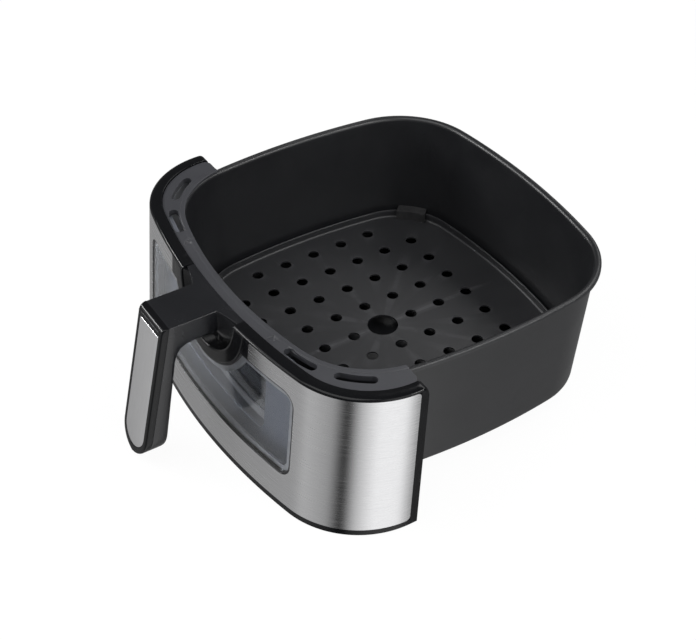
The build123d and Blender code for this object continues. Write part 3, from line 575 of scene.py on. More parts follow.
# ---- materials ---------------------------------------------------------------------------------------
def place_group(tree, made, **values):
    placed = node(tree, "ShaderNodeGroup", node_tree=made)
    for label, value in values.items():
        placed.inputs[label.replace("_", " ")].default_value = value
    return placed


def blend_colour(tree, amount, first, second):
    """Colour between two others by a varying amount."""
    mixed = node(tree, "ShaderNodeMix", data_type="RGBA")
    tree.links.new(amount, mixed.inputs["Factor"])
    mixed.inputs[6].default_value = (*first, 1.0)
    mixed.inputs[7].default_value = (*second, 1.0)
    return mixed.outputs[2]


def coated(name, dark, light, worn, roughness, metallic=0.0, grain=1500.0, bump=0.15, depth=0.00004,
           patch=30.0, spread=0.08, edge=0.5, scuff=90.0, **shader_values):
    """Paint, coating or moulded plastic: two near colours in slow patches, a lighter one on worn edges,
    roughness that follows patches and scuffs, and a fine grain as bump."""
    made = bpy.data.materials.new(name)
    made.use_nodes = True
    tree = made.node_tree
    shader = tree.nodes["Principled BSDF"]
    texture = place_group(tree, GRAIN, Scale=grain, Patch_Scale=patch)
    marks = place_group(tree, WEAR, Scuff_Scale=scuff, Edge_Amount=edge)
    base = blend_colour(tree, texture.outputs["Patches"], dark, light)
    top = node(tree, "ShaderNodeMix", data_type="RGBA")
    tree.links.new(marks.outputs["Edges"], top.inputs["Factor"])
    tree.links.new(base, top.inputs[6])
    top.inputs[7].default_value = (*worn, 1.0)
    tree.links.new(top.outputs[2], shader.inputs["Base Color"])
    rough = remap(tree, texture.outputs["Patches"], 0.3, 0.7, roughness - spread / 2,
                  roughness + spread / 2)
    scuffed = math_node(tree, "MULTIPLY", marks.outputs["Scuffs"], spread)
    tree.links.new(math_node(tree, "ADD", rough, scuffed), shader.inputs["Roughness"])
    relief = node(tree, "ShaderNodeBump",
                  {"Height": texture.outputs["Height"], "Strength": bump, "Distance": depth})
    tree.links.new(relief.outputs[0], shader.inputs["Normal"])
    shader.inputs["Metallic"].default_value = metallic
    for label, value in shader_values.items():
        shader.inputs[label.replace("_", " ")].default_value = value
    return made


def brushed(name, dark, light, roughness, fineness, stretch, anisotropic, bump=0.12, depth=0.00002):
    """Brushed metal: fine lines along the surface as tone, roughness and bump."""
    made = bpy.data.materials.new(name)
    made.use_nodes = True
    tree = made.node_tree
    shader = tree.nodes["Principled BSDF"]
    lines = place_group(tree, BRUSHING, Fineness=fineness, Stretch=stretch)
    marks = place_group(tree, WEAR, Scuff_Scale=60.0, Edge_Amount=0.0)
    tone = remap(tree, lines.outputs["Lines"], 0.3, 0.7, 0.0, 1.0)
    tree.links.new(blend_colour(tree, tone, dark, light), shader.inputs["Base Color"])
    rough = remap(tree, lines.outputs["Tone"], 0.3, 0.7, roughness - 0.04, roughness + 0.04)
    scuffed = math_node(tree, "MULTIPLY", marks.outputs["Scuffs"], 0.03)
    tree.links.new(math_node(tree, "ADD", rough, scuffed), shader.inputs["Roughness"])
    relief = node(tree, "ShaderNodeBump",
                  {"Height": lines.outputs["Lines"], "Strength": bump, "Distance": depth})
    tree.links.new(relief.outputs[0], shader.inputs["Normal"])
    tangent = node(tree, "ShaderNodeTangent", direction_type="UV_MAP", uv_map="path")
    tree.links.new(tangent.outputs[0], shader.inputs["Tangent"])
    shader.inputs["Metallic"].default_value = 1.0
    shader.inputs["Anisotropic"].default_value = anisotropic
    shader.inputs["Anisotropic Rotation"].default_value = 0.25
    return made


def glass(name, tint, roughness):
    """Glass: clear or tinted, with faint wiping marks in its roughness."""
    made = bpy.data.materials.new(name)
    made.use_nodes = True
    tree = made.node_tree
    shader = tree.nodes["Principled BSDF"]
    marks = place_group(tree, WEAR, Scuff_Scale=45.0, Edge_Amount=0.0)
    smeared = math_node(tree, "MULTIPLY", marks.outputs["Scuffs"], 0.04)
    tree.links.new(math_node(tree, "ADD", smeared, roughness), shader.inputs["Roughness"])
    texture = place_group(tree, GRAIN, Scale=900.0, Patch_Scale=20.0)
    edge = (tint[0] * 0.94, tint[1] * 0.95, tint[2] * 0.97)
    tree.links.new(blend_colour(tree, texture.outputs["Patches"], tint, edge), shader.inputs["Base Color"])
    shader.inputs["IOR"].default_value = 1.5
    shader.inputs["Transmission Weight"].default_value = 1.0
    return made


pan_outside = coated("pan_coating", (0.010, 0.0105, 0.012), (0.014, 0.0145, 0.0165), (0.09, 0.09, 0.10),
                     0.38, grain=2600.0, bump=0.20, depth=0.00003, edge=0.25, Specular_IOR_Level=0.62)
plate_finish = coated("plate_coating", (0.017, 0.0175, 0.0195), (0.022, 0.0225, 0.025), (0.13, 0.13, 0.14),
                      0.42, grain=2600.0, bump=0.25, depth=0.00003, edge=0.35, Specular_IOR_Level=0.6)
gloss_black = coated("gloss_black", (0.0045, 0.0047, 0.0055), (0.0065, 0.0068, 0.0078), (0.04, 0.04, 0.045),
                     0.13,
                     grain=700.0, bump=0.02, depth=0.00002, edge=0.15, spread=0.05, Specular_IOR_Level=0.22)
satin_black = coated("satin_black", (0.010, 0.0105, 0.012), (0.014, 0.0145, 0.017), (0.05, 0.05, 0.055),
                     0.24, grain=3000.0, bump=0.10, depth=0.00002, edge=0.2, spread=0.06)
cover_grey = coated("cover_grey", (0.040, 0.041, 0.047), (0.050, 0.051, 0.058), (0.13, 0.13, 0.145), 0.48,
                    grain=3800.0, bump=0.35, depth=0.00004, edge=0.3)
liner_grey = coated("liner_grey", (0.27, 0.29, 0.35), (0.31, 0.33, 0.39), (0.35, 0.36, 0.38), 0.35,
                    grain=1800.0, bump=0.15, depth=0.00003)
plain_steel = coated("plain_steel", (0.42, 0.42, 0.43), (0.52, 0.52, 0.53), (0.7, 0.7, 0.7), 0.34,
                     metallic=1.0, grain=2200.0, bump=0.12, depth=0.00002, spread=0.12)
zinc = coated("zinc", (0.55, 0.55, 0.56), (0.66, 0.66, 0.65), (0.75, 0.75, 0.74), 0.24, metallic=1.0,
              grain=3000.0, bump=0.10, depth=0.00002, spread=0.12)
seal_black = coated("seal", (0.012, 0.012, 0.013), (0.018, 0.018, 0.020), (0.04, 0.04, 0.04), 0.38,
                    grain=2400.0, bump=0.15, depth=0.00002)
silicone = coated("silicone", (0.016, 0.016, 0.017), (0.024, 0.024, 0.026), (0.05, 0.05, 0.05), 0.52,
                  grain=2000.0, bump=0.25, depth=0.00003)
brushed_skin = brushed("brushed_skin", (0.61, 0.61, 0.62), (0.72, 0.72, 0.727), 0.24, 9000.0, 60.0, 0.6)
brushed_insert = brushed("brushed_insert", (0.84, 0.84, 0.85), (0.92, 0.92, 0.93), 0.34, 12000.0, 40.0, 0.3)
tinted_glass = glass("tinted_glass", (0.70, 0.73, 0.78), 0.02)
clear_glass = glass("clear_glass", (0.93, 0.95, 0.95), 0.02)


# ---- pan ---------------------------------------------------------------------------------------------
def inset_at(level):
    """How far the pan's wall has come in at a height."""
    return (RIM - np.asarray(level, float)) * np.tan(PAN_DRAFT)


def make_pan():
    """The pan's sheet, carried round its outline: from the middle of the base out to the bend, up the
    sloping wall, over the rolled rim and down the flange's lip. The outer face is the same profile one
    wall further out. The wall's rows part round the window, and the faces inside it are left out."""
    x = rim_points[:, 0]
    at_port = (rim_points[:, 1] < 0) & (np.abs(x) <= PORT_HALF_WIDTH + HAIR)
    low, high = rounded_limits(np.where(at_port, x, PORT_HALF_WIDTH), PORT_HALF_WIDTH, PORT_LOW, PORT_HIGH,
                               PORT_CORNER)

    def face(shift):
        """One face of the sheet, `shift` outside the inner one."""
        bend = BASE_RADIUS - PAN_WALL + shift
        floor = PAN_WALL - shift
        turn = np.linspace(0.0, pi / 2 - PAN_DRAFT, 7)
        bend_start = -inset_at(floor) + shift - bend * (1.0 / cos(PAN_DRAFT) - np.tan(PAN_DRAFT))
        bend_grow = bend_start + bend * np.sin(turn)
        bend_level = floor + bend * (1.0 - np.cos(turn))
        top_turn = np.linspace(0.0, pi / 2, 6)
        roll = ROLL_RADIUS + (PAN_WALL - shift)
        roll_level = RIM - shift - roll * (1.0 - np.sin(top_turn))
        roll_grow = shift - inset_at(roll_level[0]) + roll * (1.0 - np.cos(top_turn))
        edge = ROLL_RADIUS - PAN_WALL + (PAN_WALL - shift)
        edge_grow = FLANGE_WIDTH - shift - edge * (1.0 - np.sin(top_turn))
        edge_level = RIM - shift - edge * (1.0 - np.cos(top_turn))
        rise_low = np.linspace(bend_level[-1], low, 6)[1:]
        rise_mid = np.linspace(low, high, 12)[1:]
        rise_high = np.linspace(high, roll_level[0], 7)[1:-1]
        rise = np.concatenate([rise_low, rise_mid, rise_high])
        wide = np.ones(len(x))
        grows = [bend_grow[:, None] * wide, shift - inset_at(rise), roll_grow[:, None] * wide,
                 edge_grow[:, None] * wide]
        levels = [bend_level[:, None] * wide, rise, roll_level[:, None] * wide, edge_level[:, None] * wide]
        lip = np.array([RIM - FLANGE_LIP])
        grows.append(np.full((1, len(x)), FLANGE_WIDTH - shift))
        levels.append(lip[:, None] * wide)
        wall = pan_grid(np.concatenate(grows), np.concatenate(levels))
        base = wall[:1] * np.array((1.0, 1.0, 0.0)) + np.array((0.0, 0.0, floor))
        spokes = np.linspace(0.0, 1.0, 7)[:-1, None, None]
        flat = base * np.concatenate([spokes, spokes, np.ones_like(spokes)], axis=2)
        first_hole_row = len(flat) + len(bend_grow) + len(rise_low) - 1
        return np.concatenate([flat, wall]), first_hole_row, len(rise_mid)

    inside, hole_row, hole_rows = face(0.0)
    outside = face(PAN_WALL)[0]
    rows, columns = inside.shape[:2]
    keep = np.ones((rows - 1, columns), bool)
    middle = at_port & np.roll(at_port, -1)
    keep[hole_row:hole_row + hole_rows, middle] = False
    points, faces = shell(inside, outside, quads(rows, columns, wrap=True, keep=keep))
    place(new_object("pan_sheet", points, faces[:, ::-1]), "drawer", "pan", pan_outside)


make_pan()


# ---- front panel -------------------------------------------------------------------------------------
def panel_columns(stops):
    """Distances along the panel, mirrored about its middle. Each stop is (distance, count, ease)."""
    right = [ramp(start[0], end[0], start[1], start[2]) for start, end in zip(stops, stops[1:])]
    return mirrored(np.concatenate([*right, [stops[-1][0]]]))


SEAL_RUN = float(run_at(WINDOW_HALF_WIDTH + GASKET_WIDTH))
SEAL_BEND_RUN = float(run_at(WINDOW_HALF_WIDTH - WINDOW_CORNER))
NOTCH_RUN = float(run_at(NOTCH_HALF_WIDTH))
SKIN_END_RUN = PANEL_RUN - SKIN_BORDER


def make_steel_skin():
    """Steel sheet that follows the panel's face. Its rows run from the lower edge up to the window, over the
    window and on to the rim, and each column has its own heights for them: level lines and quarter circles
    at the window's corners, at the two outer ends and beside the handle's notch."""
    run = panel_columns([(0.0, 14, None), (NOTCH_RUN, 8, "in"), (NOTCH_RUN + NOTCH_ROUNDING, 12, None),
                         (SEAL_BEND_RUN, 12, "out"), (SEAL_RUN, 4, None), (front_run, 46, None),
                         (SKIN_END_RUN - SKIN_CORNER, 7, "out"), (SKIN_END_RUN, 0, None)])
    low, high = window_limits(run, GASKET_WIDTH)
    from_end = SKIN_END_RUN - np.abs(run)
    bottom = SKIN_LOW + round_off(from_end, SKIN_CORNER)
    top = RIM - round_off(from_end, SKIN_CORNER)
    past_notch = np.abs(run) - NOTCH_RUN
    top = top - np.where(past_notch >= 0, round_off(past_notch, NOTCH_ROUNDING), 0.0)
    level = np.concatenate([np.linspace(bottom, low, 9), np.linspace(low, high, 15)[1:],
                            np.linspace(high, top, 5)[1:]])
    middle = (run[:-1] + run[1:]) / 2
    keep = np.ones((len(level) - 1, len(run) - 1), bool)
    keep[8:22, np.abs(middle) < SEAL_RUN] = False
    keep[22:, np.abs(middle) < NOTCH_RUN] = False
    faces = quads(len(level), len(run), keep=keep)
    front = panel_points(run[None], level, 0.0)
    back = panel_points(run[None], level, -SKIN_THICKNESS)
    points, faces = shell(front, back, faces)
    path = np.stack([np.broadcast_to(run, level.shape), level], axis=-1).reshape(-1, 2)
    made = new_object("steel_skin_sheet", points, faces, np.concatenate([path, path]))
    lay_path(made)
    place(made, "drawer", "steel_skin", brushed_skin)


def make_panel_frame():
    """Moulded frame in three closed shells: the wall behind the steel with its borders, the bead along the
    top, whose section is a rounded step carried along the panel, and the boss round the handle's root, whose
    rows pass from the root's circle out to the boss's larger one."""
    recess = SKIN_THICKNESS + HAIR
    run = panel_columns([(0.0, 12, None), (float(run_at(BOSS_RADIUS - 5.0)), 4, None),
                         (NOTCH_RUN - HAIR, 1, None),
                         (NOTCH_RUN, 14, None), (SEAL_BEND_RUN, 12, "out"), (SEAL_RUN, 4, None),
                         (front_run, 46, None), (SKIN_END_RUN, 1, None), (SKIN_END_RUN + HAIR, 4, None),
                         (PANEL_RUN - 1.0, 5, "out"), (PANEL_RUN, 0, None)])
    low, high = window_limits(run, GASKET_WIDTH)
    wide = np.ones(len(run))
    sheet_top = RIM - round_off(PANEL_RUN - np.abs(run), END_ROUNDING)
    border_rows = np.array([panel_low[2], panel_low[2] + 0.3, SKIN_LOW - 0.1, SKIN_LOW - 0.1])
    level = np.concatenate([border_rows[:, None] * wide, np.linspace(SKIN_LOW * wide, low, 7)[1:],
                            np.linspace(low, high, 12)[1:], np.linspace(high, sheet_top, 5)[1:]])
    sunk = np.full(level.shape, -recess)
    sunk[0] = -0.3
    sunk[1:3] = 0.0
    sunk[:, np.abs(run) > SKIN_END_RUN] = np.where(level[:, :1] < panel_low[2] + 0.1, -0.3, 0.0)
    over_window = slice(len(border_rows) + 6 + 11 - 1, None)
    sunk[over_window, np.abs(run) < NOTCH_RUN - HAIR / 2] = 0.0
    middle = np.abs(run[:-1] + run[1:]) / 2
    keep = np.ones((len(level) - 1, len(run) - 1), bool)
    hole = slice(len(border_rows) + 6 - 1, len(border_rows) + 6 + 11 - 1)
    keep[hole, middle < SEAL_RUN] = False
    keep[hole.stop:, middle < run_at(BOSS_RADIUS - 5.0)] = False
    wall = shell(panel_points(run[None], level, sunk), panel_points(run[None], level, -PANEL_WALL),
                 quads(len(level), len(run), keep=keep))

    root_run = float(run_at(ROOT_RADIUS + ROOT_GAP))
    half = np.concatenate([ramp(root_run, front_run, 24), ramp(front_run, PANEL_RUN - END_ROUNDING, 48),
                           ramp(PANEL_RUN - END_ROUNDING, PANEL_RUN, 10, "out"), [PANEL_RUN]])
    turn = np.linspace(0.0, pi / 2, 8)
    small = np.linspace(0.0, pi / 2, 4)
    shoulder_out = -BEAD_SHOULDER * (1.0 - np.cos(turn))
    shoulder_up = RIM + (BEAD_TOP - RIM) * np.sin(turn)
    lip_out = -BEAD_WIDTH + 0.5 * (1.0 - np.sin(small))
    lip_up = BEAD_TOP - 0.5 * (1.0 - np.cos(small))
    out = np.concatenate([[-0.8], shoulder_out, lip_out, [-BEAD_WIDTH, -BEAD_WIDTH + PANEL_WALL, -0.8]])
    up = np.concatenate([[RIM - 0.3], shoulder_up, lip_up,
                         [RIM - BEAD_DEPTH, RIM - BEAD_DEPTH, RIM - BEAD_DEPTH]])
    bead = []
    for side in (-1.0, 1.0):
        bead_share = np.clip((up - RIM + BEAD_DEPTH) / BEAD_DEPTH, 0, 1)
        drop = round_off(PANEL_RUN - half, END_ROUNDING)[:, None] * bead_share
        points = panel_points(side * half[:, None], up[None] - drop, out[None])
        bead.append(tube(points if side < 0 else points[::-1]))

    t = np.linspace(0.0, 1.0, 90)
    inner = ROOT_RADIUS + ROOT_GAP
    outer = BOSS_RADIUS - GASKET_WIDTH
    edge_turn = np.linspace(0.0, pi / 2, 6)
    edge = 1.4
    share = [0.0, 0.0]
    proud = [ROOT_BACK, BOSS_PROUD - edge]
    share += list(edge / (outer - inner) * (1.0 - np.cos(edge_turn)))
    proud += list(BOSS_PROUD - edge * (1.0 - np.sin(edge_turn)))
    share += list(np.linspace(0.2, 0.8, 5))
    proud += [BOSS_PROUD] * 5
    share += list(1.0 - edge / (outer - inner) * (1.0 - np.sin(edge_turn)))
    proud += list(BOSS_PROUD - edge * (1.0 - np.cos(edge_turn)))
    share += [1.0]
    proud += [-PANEL_WALL]
    share = np.array(share)[:, None]
    radius = inner + (outer - inner) * share
    centre_z = HANDLE_TOP + (BOSS_Z - HANDLE_TOP) * share
    dip = np.arcsin((centre_z - RIM) / radius)
    angle = -pi + dip + (pi - 2 * dip) * t[None]
    x = radius * np.cos(angle)
    z = centre_z + radius * np.sin(angle)
    face = panel_points(run_at(x), z, np.array(proud)[:, None])
    face[0, :, 1] = ROOT_BACK
    back = face.copy()
    back[:, :, 1] = ROOT_BACK
    boss = shell(face, back, quads(*face.shape[:2])[:, ::-1])
    points, faces = join([wall, *bead, boss])
    place(new_object("panel_moulding", points, faces), "drawer", "panel_frame", gloss_black)


def window_outline(grow, fine=10):
    """The window's outline moved outwards by `grow`, as a closed loop of (distance along the panel, height):
    four straight sides, four quarter circles, and the boss's arc across the middle of the top. The number of
    points is the same for every grow."""
    half = WINDOW_HALF_WIDTH + grow
    low = WINDOW_LOW - grow
    high = WINDOW_HIGH + grow
    corner = WINDOW_CORNER + grow
    bite = BOSS_RADIUS - grow
    bite_x = sqrt(bite ** 2 - (BOSS_Z - high) ** 2)
    turn = np.linspace(0.0, pi / 2, fine)
    cap = atan2(high - BOSS_Z, bite_x)
    sweep = np.linspace(cap, -pi - cap, 60)
    parts = [
        (np.linspace(-half + corner, half - corner, 40), np.full(40, low)),
        (half - corner + corner * np.sin(turn), low + corner - corner * np.cos(turn)),
        (half - corner + corner * np.cos(turn), high - corner + corner * np.sin(turn)),
        (np.linspace(half - corner, bite_x, 12)[1:-1], np.full(10, high)),
        (bite * np.cos(sweep), BOSS_Z + bite * np.sin(sweep)),
        (np.linspace(-bite_x, -half + corner, 12)[1:-1], np.full(10, high)),
        (-half + corner - corner * np.sin(turn), high - corner + corner * np.cos(turn)),
        (-half + corner - corner * np.cos(turn), low + corner - corner * np.sin(turn)),
    ]
    x = np.concatenate([part[0] for part in parts])
    z = np.concatenate([part[1] for part in parts])
    return run_at(x), z


def make_window_gasket():
    """Seal round the pane: a soft-edged section carried round the window's outline. Each row is the outline
    moved outwards a little more, at its own distance behind the panel's face."""
    section = [(0.0, -GLASS_RECESS - GLASS_THICKNESS), (0.0, -GLASS_RECESS), (0.15, -0.55), (0.5, -0.42),
               (1.1, -0.42), (1.45, -0.55), (GASKET_WIDTH, -0.8),
               (GASKET_WIDTH, -GLASS_RECESS - GLASS_THICKNESS)]
    rows = []
    for grow, offset in section:
        run, level = window_outline(grow)
        rows.append(panel_points(run, level, offset))
    points, faces = ring(np.array(rows))
    place(new_object("window_seal", points, faces), "drawer", "window_gasket", seal_black)


def make_window_glass():
    """Curved pane: columns across the window, each from its lower edge to its upper edge or to the boss's
    arc, on the panel's surface moved back by the recess. The outline is the window's, and the sheet has
    the glass's thickness."""
    bite_x = sqrt(BOSS_RADIUS ** 2 - (BOSS_Z - WINDOW_HIGH) ** 2)
    straight = WINDOW_HALF_WIDTH - WINDOW_CORNER
    half = np.concatenate([ramp(0.0, bite_x, 24), ramp(bite_x, straight, 14),
                           ramp(straight, WINDOW_HALF_WIDTH, 12, "out"), [WINDOW_HALF_WIDTH]])
    x = mirrored(half)
    low, high = rounded_limits(x, WINDOW_HALF_WIDTH, WINDOW_LOW, WINDOW_HIGH, WINDOW_CORNER)
    arc = BOSS_Z - np.sqrt(np.maximum(BOSS_RADIUS ** 2 - x ** 2, 0.0))
    high = np.where(np.abs(x) < bite_x, arc, high)
    level = np.linspace(low, high, 24)
    run = run_at(x)[None]
    front = panel_points(run, level, -GLASS_RECESS)
    back = panel_points(run, level, -GLASS_RECESS - GLASS_THICKNESS)
    points, faces = shell(front, back, quads(*level.shape))
    place(new_object("window_pane", points, faces), "drawer", "window_glass", tinted_glass)


make_steel_skin()
make_panel_frame()
make_window_gasket()
make_window_glass()


# ---- top cover ---------------------------------------------------------------------------------------
def outline_bearing(points, wanted):
    """Distance from the vents' centre to an outline, along each wanted bearing."""
    offset = points - VENT_CENTRE
    found = np.arctan2(offset[:, 1], offset[:, 0])
    order = np.argsort(found)
    return np.interp(wanted, found[order], np.hypot(offset[order, 0], offset[order, 1]))


def make_top_cover():
    """Flat plate between the bead and the pan's rim. Each column is a straight line from the outer edge to
    the inner one: parallel in the middle, radial about the vents' centre round the corner, and level at the
    end. The vents are gaps in the rows that follow the vents' arc, with half-round ends. The plate's top
    rises by a soft step to a strip along the rim, rounds off at its edges, and dips at the marks."""
    outer_offset = -BEAD_WIDTH - COVER_GAP
    run = np.linspace(0.0, PANEL_RUN, 1500)
    outer_curve = panel_points(run, np.full(len(run), RIM), outer_offset)[:, :2]
    grown = rim_points + COVER_INNER * rim_normals
    inner_curve = grown[(grown[:, 0] > 0) & (grown[:, 1] < -20.0)]

    vent = [[radians(a) for a in pair] for pair in VENT_ANGLES]
    cap = VENT_HALF_WIDTH / VENT_RADIUS
    mark_from = MARK_PLACE[0] - MARK_RADIUS - 1.0
    mark_to = MARK_PLACE[0] + MARK_RADIUS + 3.0
    across = np.concatenate([ramp(0.0, mark_from, 26), ramp(mark_from, mark_to, 26),
                             ramp(mark_to, VENT_CENTRE[0], 6)])
    turns = []
    last = -pi / 2
    for start, end in vent:
        turns += [ramp(last, start - cap, 8), ramp(start - cap, start, 9, "in"), ramp(start, end, 22),
                  ramp(end, end + cap, 9, "out")]
        last = end + cap
    end_turn = radians(-16.0)
    turns = np.concatenate([*turns, ramp(last, end_turn, 12)])
    end_y = PANEL_END - 1.0
    outer_radius = outline_bearing(outer_curve, turns)
    inner_radius = outline_bearing(inner_curve, turns)
    spoke = np.stack([np.cos(turns), np.sin(turns)], axis=1)

    outer_y = np.interp(across, outer_curve[:, 0], outer_curve[:, 1])
    order = np.argsort(inner_curve[:, 0])
    front_part = inner_curve[order]
    front_part = front_part[front_part[:, 1] < VENT_CENTRE[1] - 50.0]
    inner_y = np.interp(across, front_part[:, 0], front_part[:, 1])
    outer = [np.stack([across, outer_y], axis=1), VENT_CENTRE + outer_radius[:, None] * spoke]
    inner = [np.stack([across, inner_y], axis=1), VENT_CENTRE + inner_radius[:, None] * spoke]
    last_outer, last_inner = outer[-1][-1], inner[-1][-1]
    t = np.concatenate([ramp(0.0, 0.45, 5), ramp(0.45, 1.0, 10, "out"), [1.0]])[1:]
    side_outer = outer_curve[outer_curve[:, 1] > last_outer[1] - 5.0]
    side_inner = inner_curve[inner_curve[:, 1] > last_inner[1] - 5.0]
    side_inner = side_inner[np.argsort(side_inner[:, 1])]
    end_outer_y = last_outer[1] + (end_y - last_outer[1]) * t
    end_inner_y = last_inner[1] + (end_y - last_inner[1]) * t
    pull = round_off(end_y - end_outer_y, COVER_CORNER)
    outer.append(np.stack([np.interp(end_outer_y, side_outer[:, 1], side_outer[:, 0]) - pull, end_outer_y],
                          axis=1))
    inner.append(np.stack([np.interp(end_inner_y, side_inner[:, 1], side_inner[:, 0]), end_inner_y],
                          axis=1))
    outer = np.concatenate(outer)
    inner = np.concatenate(inner)

    width = np.hypot(*(outer - inner).T)
    bearings = np.concatenate([np.full(len(across), -pi / 2), turns, np.full(len(t), end_turn)])
    outer_at = outline_bearing(outer_curve, bearings)
    span = outer_at - outline_bearing(inner_curve, bearings)
    half_gap = np.full(len(bearings), VENT_HALF_WIDTH)
    open_gap = np.zeros(len(bearings), bool)
    for start, end in vent:
        beyond = np.maximum(start - bearings, bearings - end) * VENT_RADIUS
        near = (bearings >= start - cap - 1e-9) & (bearings <= end + cap + 1e-9)
        rounded = np.sqrt(np.clip(VENT_HALF_WIDTH ** 2 - np.clip(beyond, 0.0, None) ** 2, 0.0, None))
        half_gap = np.where(near, rounded, half_gap)
        open_gap |= near
    gap_from = (outer_at - VENT_RADIUS - half_gap) / span
    gap_to = (outer_at - VENT_RADIUS + half_gap) / span
    strip = 1.0 - (STRIP_WIDTH + STRIP_STEP) / width
    strip_top = 1.0 - STRIP_WIDTH / width
    edge = 0.6 / width
    inner_edge = 1.0 - 0.5 / width
    zero = np.zeros(len(width))
    first = np.linspace(zero, edge, 4)
    until_gap = np.linspace(edge, gap_from, 8)[1:]
    in_gap = np.linspace(gap_from, gap_to, 9)[1:]
    until_strip = np.linspace(gap_to, np.maximum(strip, gap_to + 0.01), 3)[1:]
    rise = np.linspace(until_strip[-1], np.maximum(strip_top, until_strip[-1] + 0.02), 4)[1:]
    until_edge = np.linspace(rise[-1], inner_edge, 6)[1:]
    last_rows = np.linspace(inner_edge, zero + 1.0, 4)[1:]
    share = np.concatenate([first, until_gap, in_gap, until_strip, rise, until_edge, last_rows])
    xy = outer[None] + (inner - outer)[None] * share[..., None]

    from_outer = share * width
    from_inner = (1.0 - share) * width
    strip_rise = np.clip((STRIP_WIDTH + STRIP_STEP - from_inner) / STRIP_STEP, 0.0, 1.0)
    strip_rise = strip_rise ** 2 * (3.0 - 2.0 * strip_rise)
    top = COVER_TOP - 0.45 + 0.45 * strip_rise
    top = top - round_off(from_outer, 0.6) - round_off(from_inner, 0.5)
    dx = xy[..., 0] - MARK_PLACE[0]
    dy = xy[..., 1] - MARK_PLACE[1]
    sides = [dx * cos(a) + dy * sin(a) for a in np.radians((180.0, 60.0, -60.0))]
    inside_mark = MARK_RADIUS / 2 - np.maximum.reduce(sides)
    top = top - MARK_DEPTH * np.clip(inside_mark / 0.35 + 0.5, 0.0, 1.0)
    ex = dx - DIMPLE_SHIFT[0]
    ey = dy - DIMPLE_SHIFT[1]
    top = top - 0.6 * np.exp(-((ex / DIMPLE_RADIUS) ** 2 + (ey / DIMPLE_RADIUS) ** 2) * 1.6)

    columns = share.shape[1]
    right_top = np.concatenate([xy, top[..., None]], axis=2)
    right_under = np.concatenate([xy, np.full((*share.shape, 1), COVER_UNDER)], axis=2)
    flip = np.array((-1.0, 1.0, 1.0))
    front = np.concatenate([right_top[:, ::-1] * flip, right_top[:, 1:]], axis=1)
    back = np.concatenate([right_under[:, ::-1] * flip, right_under[:, 1:]], axis=1)
    keep = np.ones((len(share) - 1, 2 * columns - 2), bool)
    both = open_gap[:-1] & open_gap[1:]
    gap_rows = slice(len(first) + len(until_gap) - 1, len(first) + len(until_gap) + len(in_gap) - 1)
    keep[gap_rows, :columns - 1] = ~both[::-1]
    keep[gap_rows, columns - 1:] = ~both
    faces = quads(len(share), 2 * columns - 1, keep=keep)
    plate = shell(front, back, faces)
    parts = [plate]
    for side in (-1.0, 1.0):
        for start, end in vent:
            parts.append(vent_collar(start, end, side))
    points, faces = join(parts)
    place(new_object("cover_plate", points, faces), "drawer", "top_cover", cover_grey)


def vent_collar(start, end, side):
    """Short wall round a vent, under the plate: the vent's outline, an arc with half-round ends, carried
    down from the plate's underside."""
    cap = np.linspace(0.0, pi, 14)
    sweep = np.linspace(start, end, 20)

    def outline(grow):
        half = VENT_HALF_WIDTH + grow
        out = VENT_RADIUS + half
        far = VENT_CENTRE + out * np.stack([np.cos(sweep), np.sin(sweep)], axis=1)
        near = VENT_CENTRE + (VENT_RADIUS - half) * np.stack([np.cos(sweep[::-1]), np.sin(sweep[::-1])],
                                                             axis=1)
        ends = []
        for angle, way in ((end, 1.0), (start, -1.0)):
            middle = VENT_CENTRE + VENT_RADIUS * np.array((cos(angle), sin(angle)))
            spoke = np.array((cos(angle), sin(angle)))
            tangent = np.array((-sin(angle), cos(angle)))
            bow = cap if way > 0 else cap + pi
            ends.append(middle + half * (np.cos(bow)[:, None] * spoke + np.sin(bow)[:, None] * tangent))
        return np.concatenate([far, ends[0][1:-1], near, ends[1][1:-1]]) * np.array((side, 1.0))

    low = COVER_UNDER - VENT_COLLAR
    rows = [(0.0, low), (0.0, COVER_UNDER + 0.2), (0.7, COVER_UNDER + 0.2), (0.7, low)]
    grid = np.array([np.concatenate([outline(grow), np.full((len(outline(grow)), 1), level)], axis=1)
                     for grow, level in rows])
    points, faces = ring(grid)
    return points, faces if side > 0 else faces[:, ::-1]


make_top_cover()


# ---- handle ------------------------------------------------------------------------------------------
TIP_CENTRE = GRIP_TIP + ARM_HALF_WIDTH
INSERT_CENTRE = INSERT_TIP + INSERT_HALF_WIDTH
UNDERSIDE = HANDLE_TOP - ARM_HEIGHT


def front_y(level, behind=0.0):
    """The grip's front plane, or a plane behind it, at each height."""
    return GRIP_FRONT - FRONT_LEAN * (RIM - level) + behind


def rear_y(level):
    return GRIP_REAR - REAR_LEAN * (RIM - level)


def tip_levels(centre, radius, count):
    """Heights down a half-round tip, crowded towards its end."""
    return centre - radius * np.sin(np.linspace(0.0, pi / 2, count))


def tip_width(level, centre, radius):
    """Half the width of a straight grip with a half-round tip, at each height."""
    below = np.clip(centre - level, 0.0, radius)
    return np.sqrt(np.maximum(radius ** 2 - below ** 2, 0.0))


